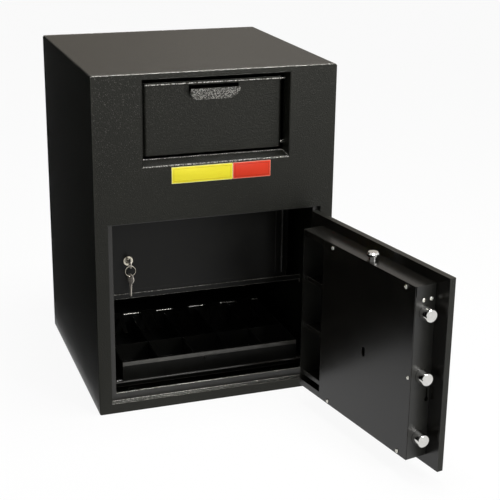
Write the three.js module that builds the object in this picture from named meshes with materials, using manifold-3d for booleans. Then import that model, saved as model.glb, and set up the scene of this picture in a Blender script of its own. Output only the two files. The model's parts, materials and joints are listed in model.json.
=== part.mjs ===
// A front-loading depository safe, standing open: a welded steel body with a
// tip-out deposit hopper above, a plate door with round bolts below, and behind
// the door a locker with its own key lock and a till tray on a shelf.
// Millimetres. X points right, Y to the back and Z up. The origin is the centre
// of the footprint on the floor. Door pieces are drawn with the door shut and
// turned open together at the end.
import * as THREE from 'three';
import { mergeVertices } from 'three/addons/utils/BufferGeometryUtils.js';
import Module from 'manifold-3d';

const wasm = await Module();
wasm.setup();

// Driving dimensions

// Body
const bodyWidth = 508;
const bodyDepth = 508;
const bodyHeight = 711;
const bodyPlate = 6;
const frontPlate = 6;
const backPlate = 6;
const bodyCornerRadius = 4;
const anchorHoleRadius = 7;
const anchorHoleInset = 90;

// Door opening, frame and door plate
const doorSideMargin = 29;
const doorHeight = 385;
const doorThickness = 12.7;
const doorBottom = 24.5;
const doorSideGap = 2;
const doorEndGap = 2.5;
const doorOpenDegrees = 100.6;
const landingGap = 0.5;
const landingThickness = 5.8;
const landingSide = 12;
const landingTop = 6;
const landingBottom = 18;
const frameBorder = 10;

// Door hinges: lift-off barrels outside the front face
const hingeAxisOutset = 14;
const hingeAxisSide = 1;
const hingeBarrelRadius = 10;
const hingePinRadius = 5;
const hingeKnuckleLength = 30;
const hingeLeafThickness = 4;
const hingeDoorLeafReach = 50;
const hingeBodyLeafReach = 25;
const lowerHingeBottom = 75;
const upperHingeBottom = 300;

// Bolt box on the inside of the door
const boxSheet = 2.5;
const boxDepth = 46.8;
const boxHingeEdge = 43;
const boxFreeMargin = 37;
const boxBottomMargin = 19.5;
const boxTopMargin = 19.5;
const rackWidth = 77;
const coverSheet = 2;
const coverFlange = 14;
const rackLipHeight = 13;
const rackShelfRises = [24, 132, 237];
const rackShelfLip = 9;
const foldedTabHeight = 20;
const foldedTabSheet = 1.6;
const foldedTabStart = 3;

// Bolts, bolt bar, handle and lock
const boltRadius = 12.7;
const boltChamfer = 1.2;
const boltEndMargin = 48;
const boltMiddleDrop = 5;
const boltAxisFromCover = 23.8;
const boltShown = 22;
const boltThrow = 22;
const boltHoleClearance = 0.5;
const barFlangeClearance = 2;
const barThickness = 4;
const barFlangeDepth = 34;
const barEndMargin = 20;
const barWebWidth = 20;
const barLift = 4.3;
const barSlotMargin = 12;
const guideArmHalfWidth = 11;
const guideFromWeb = 6;
const guideAboveLowerBolt = 16;
const guideBelowUpperBolt = 22;
const camThickness = 3.2;
const camLift = 0.7;
const camPinOrbit = 26;
const camSwingDegrees = 50;
const drivePinRadius = 4;
const driveSlotClearance = 0.5;
const handleAxisFromFreeEdge = 73;
const handleAxisAboveMiddle = 1;
const handleShaftRadius = 7;
const handleHubRadius = 21;
const handleHubDepth = 24;
const handleFlangeDepth = 5;
const handleNeckInset = 6;
const handleNeckStart = 10;
const handleLeverFront = 8;
const handleLeverBack = 4;
const handleLeverCorner = 6;
const handleCamEyeWall = 4;
const handleLeverLength = 92;
const handleLeverWidth = 17;
const topBoltFromFreeEdge = 158;
const topBoltDepth = 27;
const topBoltStemRadius = 8;
const topBoltHeadRadius = 12.5;
const topBoltHeadHeight = 9;
const topBoltHeadFlare = 2;
const topBoltHeadBevel = 3;
const topBoltShown = 14;
const topBoltThrow = 16;
const topLinkBelowTop = 90;
const topLinkWidth = 16;
const topLinkEnd = 10;
const topPinFromStem = 8;
const topPinReach = 7;
const topFootRise = 22;
const topFootLedge = 8;
const topFootLedgeHalfWidth = 10;
const guideStudRadius = 4;
const guideStudHeight = 11;
const lockFromFreeEdge = 148;
const lockAboveMiddle = 17;
const lockCaseWidth = 61;
const lockCaseHeight = 84;
const lockCaseDepth = 31;
const lockCaseCorner = 5;
const lockCaseWall = 4;
const dialSpindleRadius = 4;
const dialRadius = 36;
const dialKnobRadius = 21;
const dialDepth = 30;
const dialSkirtDepth = 6;
const dialBevel = 4;
const dialKnobStart = 13;
const dialKnobFlare = 2;
const dialKnobBevel = 3;
const dialRingRadius = 46;
const dialRingDepth = 9;
const changeKeyHoleBelowLock = 23;
const changeKeyHoleWidth = 10;
const changeKeyHoleLength = 20;
const keyholeSlotDepth = 7;
const keyholeSlotBelowMiddle = 28;
const keyholeSlotWidth = 3.5;
const keyholeRoundBelowMiddle = 51;
const keyholeRoundRadius = 4.5;

// Screws
const screwHeadRadius = 4;
const screwHeadHeight = 2.4;
const screwShankRadius = 2;
const screwShankLength = 7;
const sideScrewShankLength = 3.8;
const sideScrewBelowTop = 28.5;
const sideScrewDepths = [10, 27];
const coverScrewFromRack = 30;
const coverScrewFromFreeEdge = 27;
const coverScrewTopDrop = 1;
const coverScrewMiddleDrop = 1;

// Hopper
const hopperOpeningWidth = 309;
const hopperOpeningHeight = 176.5;
const hopperTopRail = 10;
const surroundDepth = 28;
const surroundWall = 1.2;
const surroundSideTaper = 3.6;
const surroundSillRise = 7;
const surroundTopDrop = 3.5;
const surroundFlange = 10;
const surroundFlangeSheet = 2;
const hopperFaceSetback = 25;
const hopperFaceSideGap = 8.5;
const hopperFaceSillGap = 16.5;
const hopperFaceTopGap = 14;
const hopperSheet = 2;
const hopperBendRadius = 8;
const hopperPivotBehindFace = 11;
const hopperPivotAboveFaceBottom = 7;
const hopperSectorDegrees = 112;
const hopperFloorDegrees = 108;
const hopperFloorLength = 132;
const hopperFloorLip = 16;
const hopperEyeWall = 8;
const hopperRodRadius = 4;
const hopperRodHeadLength = 3;
const hopperRodHeadRim = 2.5;
const hopperEarThickness = 3;
const hopperEarHeight = 36;
const hopperGuardStart = 8;
const hopperGuardEnd = 62;
const hopperGuardGap = 3;
const hopperGuardFlange = 18;
const fingerPullWidth = 104;
const fingerPullHeight = 30;
const fingerPullBelowTop = 8;
const fingerPullCorner = 24;
const fingerFlapDegrees = 31;
const fingerFlapSideGap = 0.5;
const fingerFlapLap = 1.5;

// Locker
const lockerFrontSetback = 154;
const lockerSideGap = 35;
const lockerSheet = 2;
const lockerFloorTop = 203;
const lockerHeaderRise = 13;
const lockerLipDrop = 12;
const lockerFloorFlange = 20;
const lockerReturn = 10;
const innerDoorLeftInset = 27;
const innerDoorRightInset = 16;
const innerDoorBottomInset = 9;
const innerDoorTopInset = 25;
const innerDoorCorner = 2;
const innerDoorThickness = 3;
const innerDoorGap = 0.5;
const innerDoorOverlap = 9;
const innerHingeRadius = 3;
const innerHingePinRadius = 1.4;
const innerHingeLeafSheet = 1.5;
const innerHingeLeafReach = 12;
const innerHingeKnuckles = 5;
const innerHingeInset = 4;
const chuteBelowOpening = 18.5;
const chuteFlange = 12;

// Locker lock, keys and ring
const lockFromDoorEdge = 34;
const lockFromDoorBottom = 67;
const lockFlangeRadius = 10.5;
const lockFlangeDepth = 2.2;
const lockBarrelRadius = 9.2;
const lockPlugRadius = 5.6;
const lockCamLength = 33;
const lockCamWidth = 12;
const lockCamSheet = 2;
const lockSpindleTail = 2;
const keySheet = 2.2;
const keyBowRadius = 11;
const keyBowStandOff = 16;
const keyHoleRadius = 3;
const keyHoleFromBowCentre = 5;
const keyBladeWidth = 7.5;
const keyLength = 52;
const keyInsertion = 12;
const keywayEndGap = 2;
const ringRadius = 11;
const ringWire = 0.9;
const ringSag = 1.4;

// Till shelf and tray
const shelfTop = 38;
const shelfSheet = 3;
const shelfFrontSetback = 74;
const shelfFrontFlange = 16;
const shelfSideMargin = 24;
const trayLeftMargin = 37;
const trayRightMargin = 15;
const trayFrontSetback = 71;
const trayDepth = 289;
const trayHeight = 42;
const trayWall = 2.5;
const trayFloor = 3;
const trayColumns = 5;
const coinPocketDepth = 92;
const coinScoopRadius = 26;
const trayRearStrip = 40;
const trayRearRise = 6;
const trayPullWidth = 30;
const trayPullDepth = 4;
const trayPullHeight = 9;
const trayRiseFromRod = 8;
const trayLugWidth = 3;
const trayLugGap = 1;
const notePocketEndGap = 2;
const clipRodRadius = 2;
const clipWidth = 34;
const clipProngWidth = 8;
const clipLength = 62;
const clipSheet = 2;
const clipBarrelRadius = 4;
const clipDropDegrees = 22;
const clipBridge = 10;

// Clearances
const seat = 0.3;
const runningFit = 0.3;

// Places worked out from the driving dimensions
const frontY = -bodyDepth / 2;
const backY = bodyDepth / 2;
const frontInnerY = frontY + frontPlate;
const backInnerY = backY - backPlate;
const sideInnerX = bodyWidth / 2 - bodyPlate;
const topInnerZ = bodyHeight - bodyPlate;
const doorWidth = bodyWidth - 2 * doorSideMargin;
const doorTop = doorBottom + doorHeight;
const openingX = doorWidth / 2 + doorSideGap;
const openingBottom = doorBottom - doorEndGap;
const openingTop = doorTop + doorEndGap;
const doorInnerY = frontY + doorThickness;
const landingY = doorInnerY + landingGap;
const landingBackY = landingY + landingThickness;
const hingeAxisX = doorWidth / 2 + hingeAxisSide;
const hingeAxisY = frontY - hingeAxisOutset;
const doorHingeX = doorWidth / 2;
const boxFreeEdge = doorWidth - boxFreeMargin;
const boxBottom = doorBottom + boxBottomMargin;
const boxTop = doorTop - boxTopMargin;
const boltMiddleHeight = (boxBottom + boxTop) / 2 - boltMiddleDrop;
const boltSpacing = (boxTop - boxBottom) / 2 - boltEndMargin;
const boltAxisDepth = boxDepth - boltAxisFromCover;
const handleAxisFromHinge = boxFreeEdge - handleAxisFromFreeEdge;
const handleAxisHeight = boltMiddleHeight + handleAxisAboveMiddle;
const topBoltFromHinge = boxFreeEdge - topBoltFromFreeEdge;
const topLinkHeight = boxTop - topLinkBelowTop;
const lockFromHinge = boxFreeEdge - lockFromFreeEdge;
const lockHeight = boltMiddleHeight + lockAboveMiddle;
const changeKeyHoleHeight = lockHeight - changeKeyHoleBelowLock;
const keyholeSlotTop = boltMiddleHeight - keyholeSlotBelowMiddle;
const keyholeRoundHeight = boltMiddleHeight - keyholeRoundBelowMiddle;
const sideScrewHeight = boxTop - sideScrewBelowTop;
const boltInnerEnd = boxFreeEdge + boltShown;
const barFlangeOuter = boxFreeEdge - boxSheet - boltThrow - barFlangeClearance;
const lockerFrontY = frontY + lockerFrontSetback;
const lockerX = sideInnerX - lockerSideGap;
const lockerHeaderTop = openingTop + lockerHeaderRise;
const hopperOpeningTop = bodyHeight - hopperTopRail;
const hopperOpeningBottom = hopperOpeningTop - hopperOpeningHeight;
const hopperFaceWidth = hopperOpeningWidth - 2 * hopperFaceSideGap;
const hopperFaceBottom = hopperOpeningBottom + hopperFaceSillGap;
const hopperFaceTop = hopperOpeningTop - hopperFaceTopGap;
const chuteFrontHeight = hopperOpeningBottom - chuteBelowOpening;
const hopperPivotY = frontY + hopperFaceSetback + hopperPivotBehindFace;
const hopperPivotZ = hopperFaceBottom + hopperPivotAboveFaceBottom;
const hopperReach = Math.hypot(hopperFaceTop - hopperPivotZ, hopperPivotBehindFace);
const innerDoorLeft = -lockerX + innerDoorLeftInset;
const innerDoorRight = lockerX - innerDoorRightInset;
const innerDoorBottom = lockerFloorTop + innerDoorBottomInset;
const innerDoorTop = lockerHeaderTop - innerDoorTopInset;
const lockX = innerDoorLeft + lockFromDoorEdge;
const lockZ = innerDoorBottom + lockFromDoorBottom;
const innerDoorBackY = lockerFrontY - innerDoorGap;
const innerDoorFrontY = innerDoorBackY - innerDoorThickness;
const innerHingeX = innerDoorRight + innerHingeRadius + seat;
const innerHingeY = innerDoorFrontY - innerHingeLeafSheet;
const shelfX = sideInnerX - shelfSideMargin;
const trayLeft = -shelfX + trayLeftMargin;
const trayRight = shelfX - trayRightMargin;
const trayFrontY = frontY + trayFrontSetback;
const trayBackY = trayFrontY + trayDepth;
const trayTop = shelfTop + trayHeight;
const trayPitch = (trayRight - trayLeft - trayWall) / trayColumns;
const coinDividerY = trayFrontY + coinPocketDepth;
const clipRodY = trayBackY - trayRearStrip;
const clipRodZ = trayTop + clipBarrelRadius + seat;

// Materials
function finish(color, roughness, metalness) {
  return new THREE.MeshStandardMaterial({ color, roughness, metalness });
}

const texturedPowderCoat = finish(0x26261f, 0.62, 0.0);
const smoothBlackPaint = finish(0x141413, 0.38, 0.0);
const chromedSteel = finish(0xd6d6d2, 0.16, 1.0);
const zincPlatedSteel = finish(0x9c9a90, 0.42, 1.0);
const nickelPlatedBrass = finish(0xb9b4a4, 0.3, 1.0);
const blackPlastic = finish(0x171716, 0.45, 0.0);
const zincCasting = finish(0x8a8a84, 0.5, 0.8);

// Solid helpers

function toManifold(geometry) {
  const bare = geometry.clone();
  bare.deleteAttribute('normal');
  bare.deleteAttribute('uv');
  const merged = mergeVertices(bare, 1e-4);
  const index = merged.index.array;
  const triangles = [];
  for (let i = 0; i < index.length; i += 3) {
    const [a, b, c] = [index[i], index[i + 1], index[i + 2]];
    if (a !== b && b !== c && c !== a) {
      triangles.push(a, b, c);
    }
  }
  return new wasm.Manifold(new wasm.Mesh({
    numProp: 3,
    vertProperties: new Float32Array(merged.attributes.position.array),
    triVerts: new Uint32Array(triangles),
  }));
}

function toGeometry(manifold) {
  const mesh = manifold.getMesh();
  const geometry = new THREE.BufferGeometry();
  geometry.setAttribute('position', new THREE.BufferAttribute(mesh.vertProperties, 3));
  geometry.setIndex(new THREE.BufferAttribute(mesh.triVerts, 1));
  geometry.computeVertexNormals();
  return geometry;
}

function part(name, manifold, material) {
  const mesh = new THREE.Mesh(toGeometry(manifold), material);
  mesh.name = name;
  return mesh;
}

function box(x0, x1, y0, y1, z0, z1) {
  const geometry = new THREE.BoxGeometry(x1 - x0, y1 - y0, z1 - z0);
  geometry.translate((x0 + x1) / 2, (y0 + y1) / 2, (z0 + z1) / 2);
  return toManifold(geometry);
}

function join(...solids) {
  return solids.reduce((whole, solid) => whole.add(solid));
}

function cut(solid, ...tools) {
  return tools.reduce((rest, tool) => rest.subtract(tool), solid);
}

// Where a shape's two coordinates and its depth go, by the axis it runs along:
// x takes (Y, Z) outlines, y takes (X, Z) outlines and z takes (X, Y) outlines.
const outlineBases = {
  x: new THREE.Matrix4().set(0, 0, 1, 0, 1, 0, 0, 0, 0, 1, 0, 0, 0, 0, 0, 1),
  y: new THREE.Matrix4().set(1, 0, 0, 0, 0, 0, -1, 0, 0, 1, 0, 0, 0, 0, 0, 1),
  z: new THREE.Matrix4(),
};

function prism(axis, shape, from, to, curveSegments = 8) {
  const geometry = new THREE.ExtrudeGeometry(shape, {
    depth: to - from,
    bevelEnabled: false,
    curveSegments,
    steps: 1,
  });
  geometry.translate(0, 0, axis === 'y' ? -to : from);
  geometry.applyMatrix4(outlineBases[axis]);
  return toManifold(geometry);
}

function outline(points) {
  return new THREE.Shape(points.map(([u, v]) => new THREE.Vector2(u, v)));
}

function rectangle(u0, u1, v0, v1) {
  return outline([[u0, v0], [u1, v0], [u1, v1], [u0, v1]]);
}

function roundedRectangle(u0, u1, v0, v1, r) {
  const shape = new THREE.Shape();
  shape.moveTo(u0 + r, v0);
  shape.lineTo(u1 - r, v0);
  shape.absarc(u1 - r, v0 + r, r, -Math.PI / 2, 0);
  shape.lineTo(u1, v1 - r);
  shape.absarc(u1 - r, v1 - r, r, 0, Math.PI / 2);
  shape.lineTo(u0 + r, v1);
  shape.absarc(u0 + r, v1 - r, r, Math.PI / 2, Math.PI);
  shape.lineTo(u0, v0 + r);
  shape.absarc(u0 + r, v0 + r, r, Math.PI, 1.5 * Math.PI);
  return shape;
}

// A round bar with the given number of sides: a full arc counts its segments twice.
function rod(axis, u, v, radius, from, to, sides = 24) {
  const shape = new THREE.Shape();
  shape.absarc(u, v, radius, 0, 2 * Math.PI);
  return prism(axis, shape, from, to, sides / 2);
}

// A slot with round ends between two points of an outline plane.
function slot(axis, [u0, v0], [u1, v1], radius, from, to) {
  const heading = Math.atan2(v1 - v0, u1 - u0);
  const shape = new THREE.Shape();
  shape.absarc(u1, v1, radius, heading - Math.PI / 2, heading + Math.PI / 2);
  shape.absarc(u0, v0, radius, heading + Math.PI / 2, heading + 1.5 * Math.PI);
  return prism(axis, shape, from, to, 8);
}

// A turned solid: profile points are [radius, height], from axis to axis.
function turned(profile, segments = 24) {
  const points = profile.map(([r, h]) => new THREE.Vector2(r, h));
  return new THREE.LatheGeometry(points, segments);
}

function turnedAlong(axis, profile, x, y, z, segments = 24) {
  const geometry = turned(profile, segments);
  if (axis === 'z') {
    geometry.rotateX(Math.PI / 2);
  }
  if (axis === '-x') {
    geometry.rotateZ(Math.PI / 2);
  }
  if (axis === '-y') {
    geometry.rotateZ(Math.PI);
  }
  geometry.translate(x, y, z);
  return toManifold(geometry);
}

// A six-sided solid whose front (lower Y) and back outlines are two rectangles.
function taperedBlock(front, back, y0, y1) {
  const geometry = new THREE.BoxGeometry(1, 1, 1);
  const position = geometry.attributes.position;
  for (let i = 0; i < position.count; i += 1) {
    const side = position.getY(i) < 0 ? front : back;
    const x = position.getX(i) < 0 ? side.x0 : side.x1;
    const z = position.getZ(i) < 0 ? side.z0 : side.z1;
    position.setXYZ(i, x, position.getY(i) < 0 ? y0 : y1, z);
  }
  return toManifold(geometry);
}

const degrees = THREE.MathUtils.degToRad;

// Points of an arc in a (Y, Z) outline. Angles run from straight up towards the back.
function hopperPoint(radius, angle) {
  return [hopperPivotY + radius * Math.sin(degrees(angle)), hopperPivotZ + radius * Math.cos(degrees(angle))];
}

function hopperArc(radius, fromAngle, toAngle, steps) {
  const points = [];
  for (let i = 0; i <= steps; i += 1) {
    points.push(hopperPoint(radius, fromAngle + (toAngle - fromAngle) * i / steps));
  }
  return points;
}

// Body shell: top, bottom and sides are one wrapped plate, open front and back.
function makeBodyShell() {
  const shape = roundedRectangle(-bodyWidth / 2, bodyWidth / 2, 0, bodyHeight, bodyCornerRadius);
  shape.holes.push(rectangle(-sideInnerX, sideInnerX, bodyPlate, topInnerZ));
  let shell = prism('y', shape, frontInnerY, backInnerY, 3);
  for (const x of [-bodyWidth / 2 + anchorHoleInset, bodyWidth / 2 - anchorHoleInset]) {
    for (const y of [frontY + anchorHoleInset, backY - anchorHoleInset]) {
      shell = cut(shell, rod('z', x, y, anchorHoleRadius, -1, bodyPlate + 1, 16));
    }
  }
  return shell;
}

function makeBackPanel() {
  const shape = roundedRectangle(-bodyWidth / 2, bodyWidth / 2, 0, bodyHeight, bodyCornerRadius);
  return prism('y', shape, backInnerY, backY, 3);
}

function makeFrontPanel() {
  const shape = roundedRectangle(-bodyWidth / 2, bodyWidth / 2, 0, bodyHeight, bodyCornerRadius);
  shape.holes.push(rectangle(-openingX, openingX, openingBottom, openingTop));
  const hopperX = hopperOpeningWidth / 2;
  shape.holes.push(rectangle(-hopperX, hopperX, hopperOpeningBottom, hopperOpeningTop));
  return prism('y', shape, frontY, frontInnerY, 3);
}

// Door frame behind the front panel: a spacer level with the opening, and the
// landing that the shut door closes against.
function makeDoorFrame() {
  const outer = [
    -openingX - frameBorder, openingX + frameBorder, openingBottom - frameBorder, openingTop + frameBorder,
  ];
  const spacer = rectangle(...outer);
  spacer.holes.push(rectangle(-openingX, openingX, openingBottom, openingTop));
  const landing = rectangle(...outer);
  landing.holes.push(rectangle(
    -openingX + landingSide,
    openingX - landingSide,
    openingBottom + landingBottom,
    openingTop - landingTop,
  ));
  return join(
    prism('y', spacer, frontInnerY, landingY),
    prism('y', landing, landingY, landingBackY),
  );
}

// Hopper surround: a tapered sleeve in the hopper opening, with a flange behind
// the front panel and two ears that carry the hopper rod.
function makeHopperSurround() {
  const x = hopperOpeningWidth / 2;
  const z0 = hopperOpeningBottom;
  const z1 = hopperOpeningTop;
  const backOfSleeve = frontY + surroundDepth;
  const flangeTop = Math.min(z1 + surroundFlange, topInnerZ - seat);
  const sleeve = box(-x + seat, x - seat, frontY, backOfSleeve, z0 + seat, z1 - seat);
  const flange = box(
    -x - surroundFlange, x + surroundFlange,
    frontInnerY, frontInnerY + surroundFlangeSheet,
    z0 - surroundFlange, flangeTop,
  );
  const wall = seat + surroundWall;
  const mouth = { x0: -x + wall, x1: x - wall, z0: z0 + wall, z1: z1 - wall };
  const throat = {
    x0: mouth.x0 + surroundSideTaper,
    x1: mouth.x1 - surroundSideTaper,
    z0: mouth.z0 + surroundSillRise,
    z1: mouth.z1 - surroundTopDrop,
  };
  let surround = cut(join(sleeve, flange), taperedBlock(mouth, throat, frontY, backOfSleeve));
  const earBack = hopperPivotY + hopperEarHeight / 2;
  for (const side of [-1, 1]) {
    const inner = side * (x + surroundWall);
    const outer = side * (x + surroundWall + hopperEarThickness);
    const ear = box(
      Math.min(inner, outer), Math.max(inner, outer),
      frontInnerY + surroundFlangeSheet / 2, earBack,
      hopperPivotZ - hopperEarHeight / 2, hopperPivotZ + hopperEarHeight / 2,
    );
    surround = join(surround, ear);
  }
  const bore = hopperRodRadius + runningFit;
  return cut(surround, rod('x', hopperPivotY, hopperPivotZ, bore, -sideInnerX, sideInnerX, 12));
}

function makeHopperRod() {
  const end = hopperOpeningWidth / 2 + surroundWall + hopperEarThickness + seat;
  const shank = rod('x', hopperPivotY, hopperPivotZ, hopperRodRadius, -end, end, 12);
  const heads = [-1, 1].map((side) => {
    const from = side > 0 ? end : -end - hopperRodHeadLength;
    const to = from + hopperRodHeadLength;
    return rod('x', hopperPivotY, hopperPivotZ, hopperRodRadius + hopperRodHeadRim, from, to, 12);
  });
  return join(shank, ...heads);
}

// Hopper face: one sheet bent into a front and two side sectors, with a flap cut
// and pushed out near its top edge as a finger pull.
function makeHopperFace() {
  const x = hopperFaceWidth / 2;
  const y0 = hopperPivotY - hopperPivotBehindFace;
  const y1 = hopperPivotY + hopperReach + 1;
  const channel = new THREE.Shape();
  channel.moveTo(-x, y1);
  channel.lineTo(-x, y0 + hopperBendRadius);
  channel.absarc(-x + hopperBendRadius, y0 + hopperBendRadius, hopperBendRadius, Math.PI, 1.5 * Math.PI);
  channel.lineTo(x - hopperBendRadius, y0);
  channel.absarc(x - hopperBendRadius, y0 + hopperBendRadius, hopperBendRadius, 1.5 * Math.PI, 2 * Math.PI);
  channel.lineTo(x, y1);
  channel.lineTo(x - hopperSheet, y1);
  const inner = hopperBendRadius - hopperSheet;
  channel.absarc(x - hopperBendRadius, y0 + hopperBendRadius, inner, 2 * Math.PI, 1.5 * Math.PI, true);
  channel.lineTo(-x + hopperBendRadius, y0 + hopperSheet);
  channel.absarc(-x + hopperBendRadius, y0 + hopperBendRadius, inner, 1.5 * Math.PI, Math.PI, true);
  channel.lineTo(-x + hopperSheet, y1);
  const folded = prism('z', channel, hopperFaceBottom - 1, hopperFaceTop + 1, 5);
  const lean = Math.atan2(hopperPivotBehindFace, hopperFaceTop - hopperPivotZ);
  const startAngle = -THREE.MathUtils.radToDeg(lean);
  const profile = [
    [y0, hopperFaceBottom],
    [y0, hopperFaceTop],
    ...hopperArc(hopperReach, startAngle + 1, hopperSectorDegrees, 16),
    hopperPoint(hopperRodRadius + hopperEyeWall, 150),
    [hopperPivotY, hopperFaceBottom],
  ];
  let face = folded.intersect(prism('x', outline(profile.reverse()), -x - 1, x + 1));
  face = cut(face, rod('x', hopperPivotY, hopperPivotZ, hopperRodRadius + runningFit, -x - 1, x + 1, 12));
  return join(cut(face, fingerPullCut(y0)), fingerFlap(y0));
}

// The finger pull's outline: a straight top edge and rounded lower corners.
function fingerPullShape(top, width, height, corner) {
  const shape = new THREE.Shape();
  shape.moveTo(-width / 2, top);
  shape.lineTo(-width / 2, top - height + corner);
  shape.absarc(-width / 2 + corner, top - height + corner, corner, Math.PI, 1.5 * Math.PI);
  shape.lineTo(width / 2 - corner, top - height);
  shape.absarc(width / 2 - corner, top - height + corner, corner, 1.5 * Math.PI, 2 * Math.PI);
  shape.lineTo(width / 2, top);
  return shape;
}

function fingerPullCut(faceY) {
  const top = hopperFaceTop - fingerPullBelowTop;
  const shape = fingerPullShape(top, fingerPullWidth, fingerPullHeight, fingerPullCorner);
  return prism('y', shape, faceY - 1, faceY + hopperSheet + 1, 6);
}

function fingerFlap(faceY) {
  const width = fingerPullWidth - 2 * fingerFlapSideGap;
  const shape = fingerPullShape(fingerPullHeight, width, fingerPullHeight + fingerFlapLap, fingerPullCorner);
  const geometry = new THREE.ExtrudeGeometry(shape, {
    depth: hopperSheet,
    bevelEnabled: false,
    curveSegments: 6,
  });
  geometry.applyMatrix4(outlineBases.y);
  geometry.rotateX(degrees(fingerFlapDegrees));
  geometry.translate(0, faceY + hopperSheet, hopperFaceTop - fingerPullBelowTop - fingerPullHeight);
  return toManifold(geometry);
}

// Hopper floor: a sheet bent under the rod, its front edge up the back of the
// face and its long leg sloping down to the back.
function makeHopperFloor() {
  const x = hopperFaceWidth / 2 - hopperSheet - seat;
  const outerRadius = hopperPivotBehindFace - hopperSheet - seat;
  const innerRadius = outerRadius - hopperSheet;
  const lipTop = hopperPivotZ + hopperFloorLip;
  const back = degrees(hopperFloorDegrees);
  const tip = (radius) => [
    hopperPivotY + hopperFloorLength * Math.sin(back) + radius * Math.cos(back),
    hopperPivotZ + hopperFloorLength * Math.cos(back) - radius * Math.sin(back),
  ];
  const profile = [
    [hopperPivotY - outerRadius, lipTop],
    ...hopperArc(outerRadius, 270, hopperFloorDegrees + 90, 6),
    tip(outerRadius),
    tip(innerRadius),
    ...hopperArc(innerRadius, hopperFloorDegrees + 90, 270, 6),
    [hopperPivotY - innerRadius, lipTop],
  ];
  const sheet = prism('x', outline(profile), -x, x);
  const faceY = hopperPivotY - hopperPivotBehindFace;
  const clear = hopperFaceWidth / 2 - hopperBendRadius;
  const notches = [-1, 1].map((side) => box(
    Math.min(side * clear, side * (x + 1)), Math.max(side * clear, side * (x + 1)),
    faceY, faceY + hopperBendRadius + seat,
    hopperPivotZ - hopperPivotBehindFace, lipTop + 1,
  ));
  return cut(sheet, ...notches);
}

// Guard: a curved sheet behind the hopper, hung from the top plate, that bars
// the way down while the hopper is tipped out.
function makeHopperGuard() {
  const x = hopperFaceWidth / 2;
  const r0 = hopperReach + hopperGuardGap;
  const r1 = r0 + hopperSheet;
  const [frontEdgeY] = hopperPoint(r0, hopperGuardStart);
  const sheetTop = topInnerZ;
  const profile = [
    ...hopperArc(r0, hopperGuardStart, hopperGuardEnd, 10),
    ...hopperArc(r1, hopperGuardEnd, hopperGuardStart + 1, 10),
    [frontEdgeY + hopperSheet, sheetTop - hopperSheet],
    [frontEdgeY + hopperSheet + hopperGuardFlange, sheetTop - hopperSheet],
    [frontEdgeY + hopperSheet + hopperGuardFlange, sheetTop],
    [frontEdgeY, sheetTop],
  ];
  return prism('x', outline(profile.reverse()), -x, x);
}

// Deposit chute: a sloping sheet from the front panel down to the locker
// header, between two side sheets that close the locker off up to the top.
function makeDepositChute() {
  const x = lockerX;
  const frontEdge = frontInnerY;
  const backEdge = lockerFrontY;
  const underside = lockerHeaderTop + seat;
  const slope = [
    [frontEdge, chuteFrontHeight - chuteFlange],
    [frontEdge + lockerSheet, chuteFrontHeight - chuteFlange],
    [frontEdge + lockerSheet, chuteFrontHeight - lockerSheet],
    [backEdge, underside],
    [backEdge + lockerSheet, underside],
    [backEdge + lockerSheet, underside + lockerSheet],
    [backEdge, underside + lockerSheet],
    [frontEdge, chuteFrontHeight + lockerSheet],
  ];
  const cheek = outline([
    [frontEdge, chuteFrontHeight - chuteFlange],
    [backEdge - seat, underside],
    [backEdge - seat, topInnerZ - seat],
    [frontEdge, topInnerZ - seat],
  ]);
  return join(
    prism('x', outline(slope), -x, x),
    prism('x', cheek, -x, -x + lockerSheet),
    prism('x', cheek, x - lockerSheet, x),
  );
}

// Locker floor: it spans the body on two flanges against the side walls, and
// its front edge turns down.
function makeLockerFloor() {
  const z = lockerFloorTop;
  return join(
    box(-sideInnerX, sideInnerX, lockerFrontY, backInnerY, z - lockerSheet, z),
    box(-sideInnerX, sideInnerX, lockerFrontY - lockerSheet, lockerFrontY, z - lockerLipDrop, z),
    box(-sideInnerX, -sideInnerX + lockerSheet, lockerFrontY, backInnerY, z - lockerFloorFlange, z),
    box(sideInnerX - lockerSheet, sideInnerX, lockerFrontY, backInnerY, z - lockerFloorFlange, z),
  );
}

function makeLockerSide(side) {
  const outer = side * lockerX;
  const inner = side * (lockerX - lockerSheet);
  const start = lockerFrontY + lockerSheet;
  return box(
    Math.min(outer, inner), Math.max(outer, inner), start, backInnerY, lockerFloorTop, topInnerZ,
  );
}

// Locker front: a flat frame round the inner doorway, with its inner edges
// turned back.
function makeLockerFront() {
  const y = lockerFrontY;
  const [x0, x1] = [innerDoorLeft + innerDoorOverlap, innerDoorRight - innerDoorOverlap];
  const [z0, z1] = [innerDoorBottom + innerDoorOverlap, innerDoorTop - innerDoorOverlap];
  const plate = rectangle(-lockerX, lockerX, lockerFloorTop, lockerHeaderTop);
  plate.holes.push(rectangle(x0, x1, z0, z1));
  const turnedEdge = rectangle(x0 - lockerSheet, x1 + lockerSheet, z0 - lockerSheet, z1 + lockerSheet);
  turnedEdge.holes.push(rectangle(x0, x1, z0, z1));
  return join(
    prism('y', plate, y, y + lockerSheet),
    prism('y', turnedEdge, y, y + lockerSheet + lockerReturn),
  );
}

function makeInnerDoor() {
  const plate = prism(
    'y',
    roundedRectangle(innerDoorLeft, innerDoorRight, innerDoorBottom, innerDoorTop, innerDoorCorner),
    innerDoorFrontY, innerDoorBackY, 2,
  );
  const bore = lockBarrelRadius + runningFit;
  return cut(plate, rod('y', lockX, lockZ, bore, innerDoorFrontY - 1, innerDoorBackY + 1, 16));
}

// Piano hinge of the inner door: knuckles alternate between the leaf on the
// locker front (even) and the leaf on the door (odd).
function innerHingeKnuckleSpan(index) {
  const bottom = innerDoorBottom + innerHingeInset;
  const length = (innerDoorTop - innerDoorBottom - 2 * innerHingeInset) / innerHingeKnuckles;
  return [bottom + index * length + seat / 2, bottom + (index + 1) * length - seat / 2];
}

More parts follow.
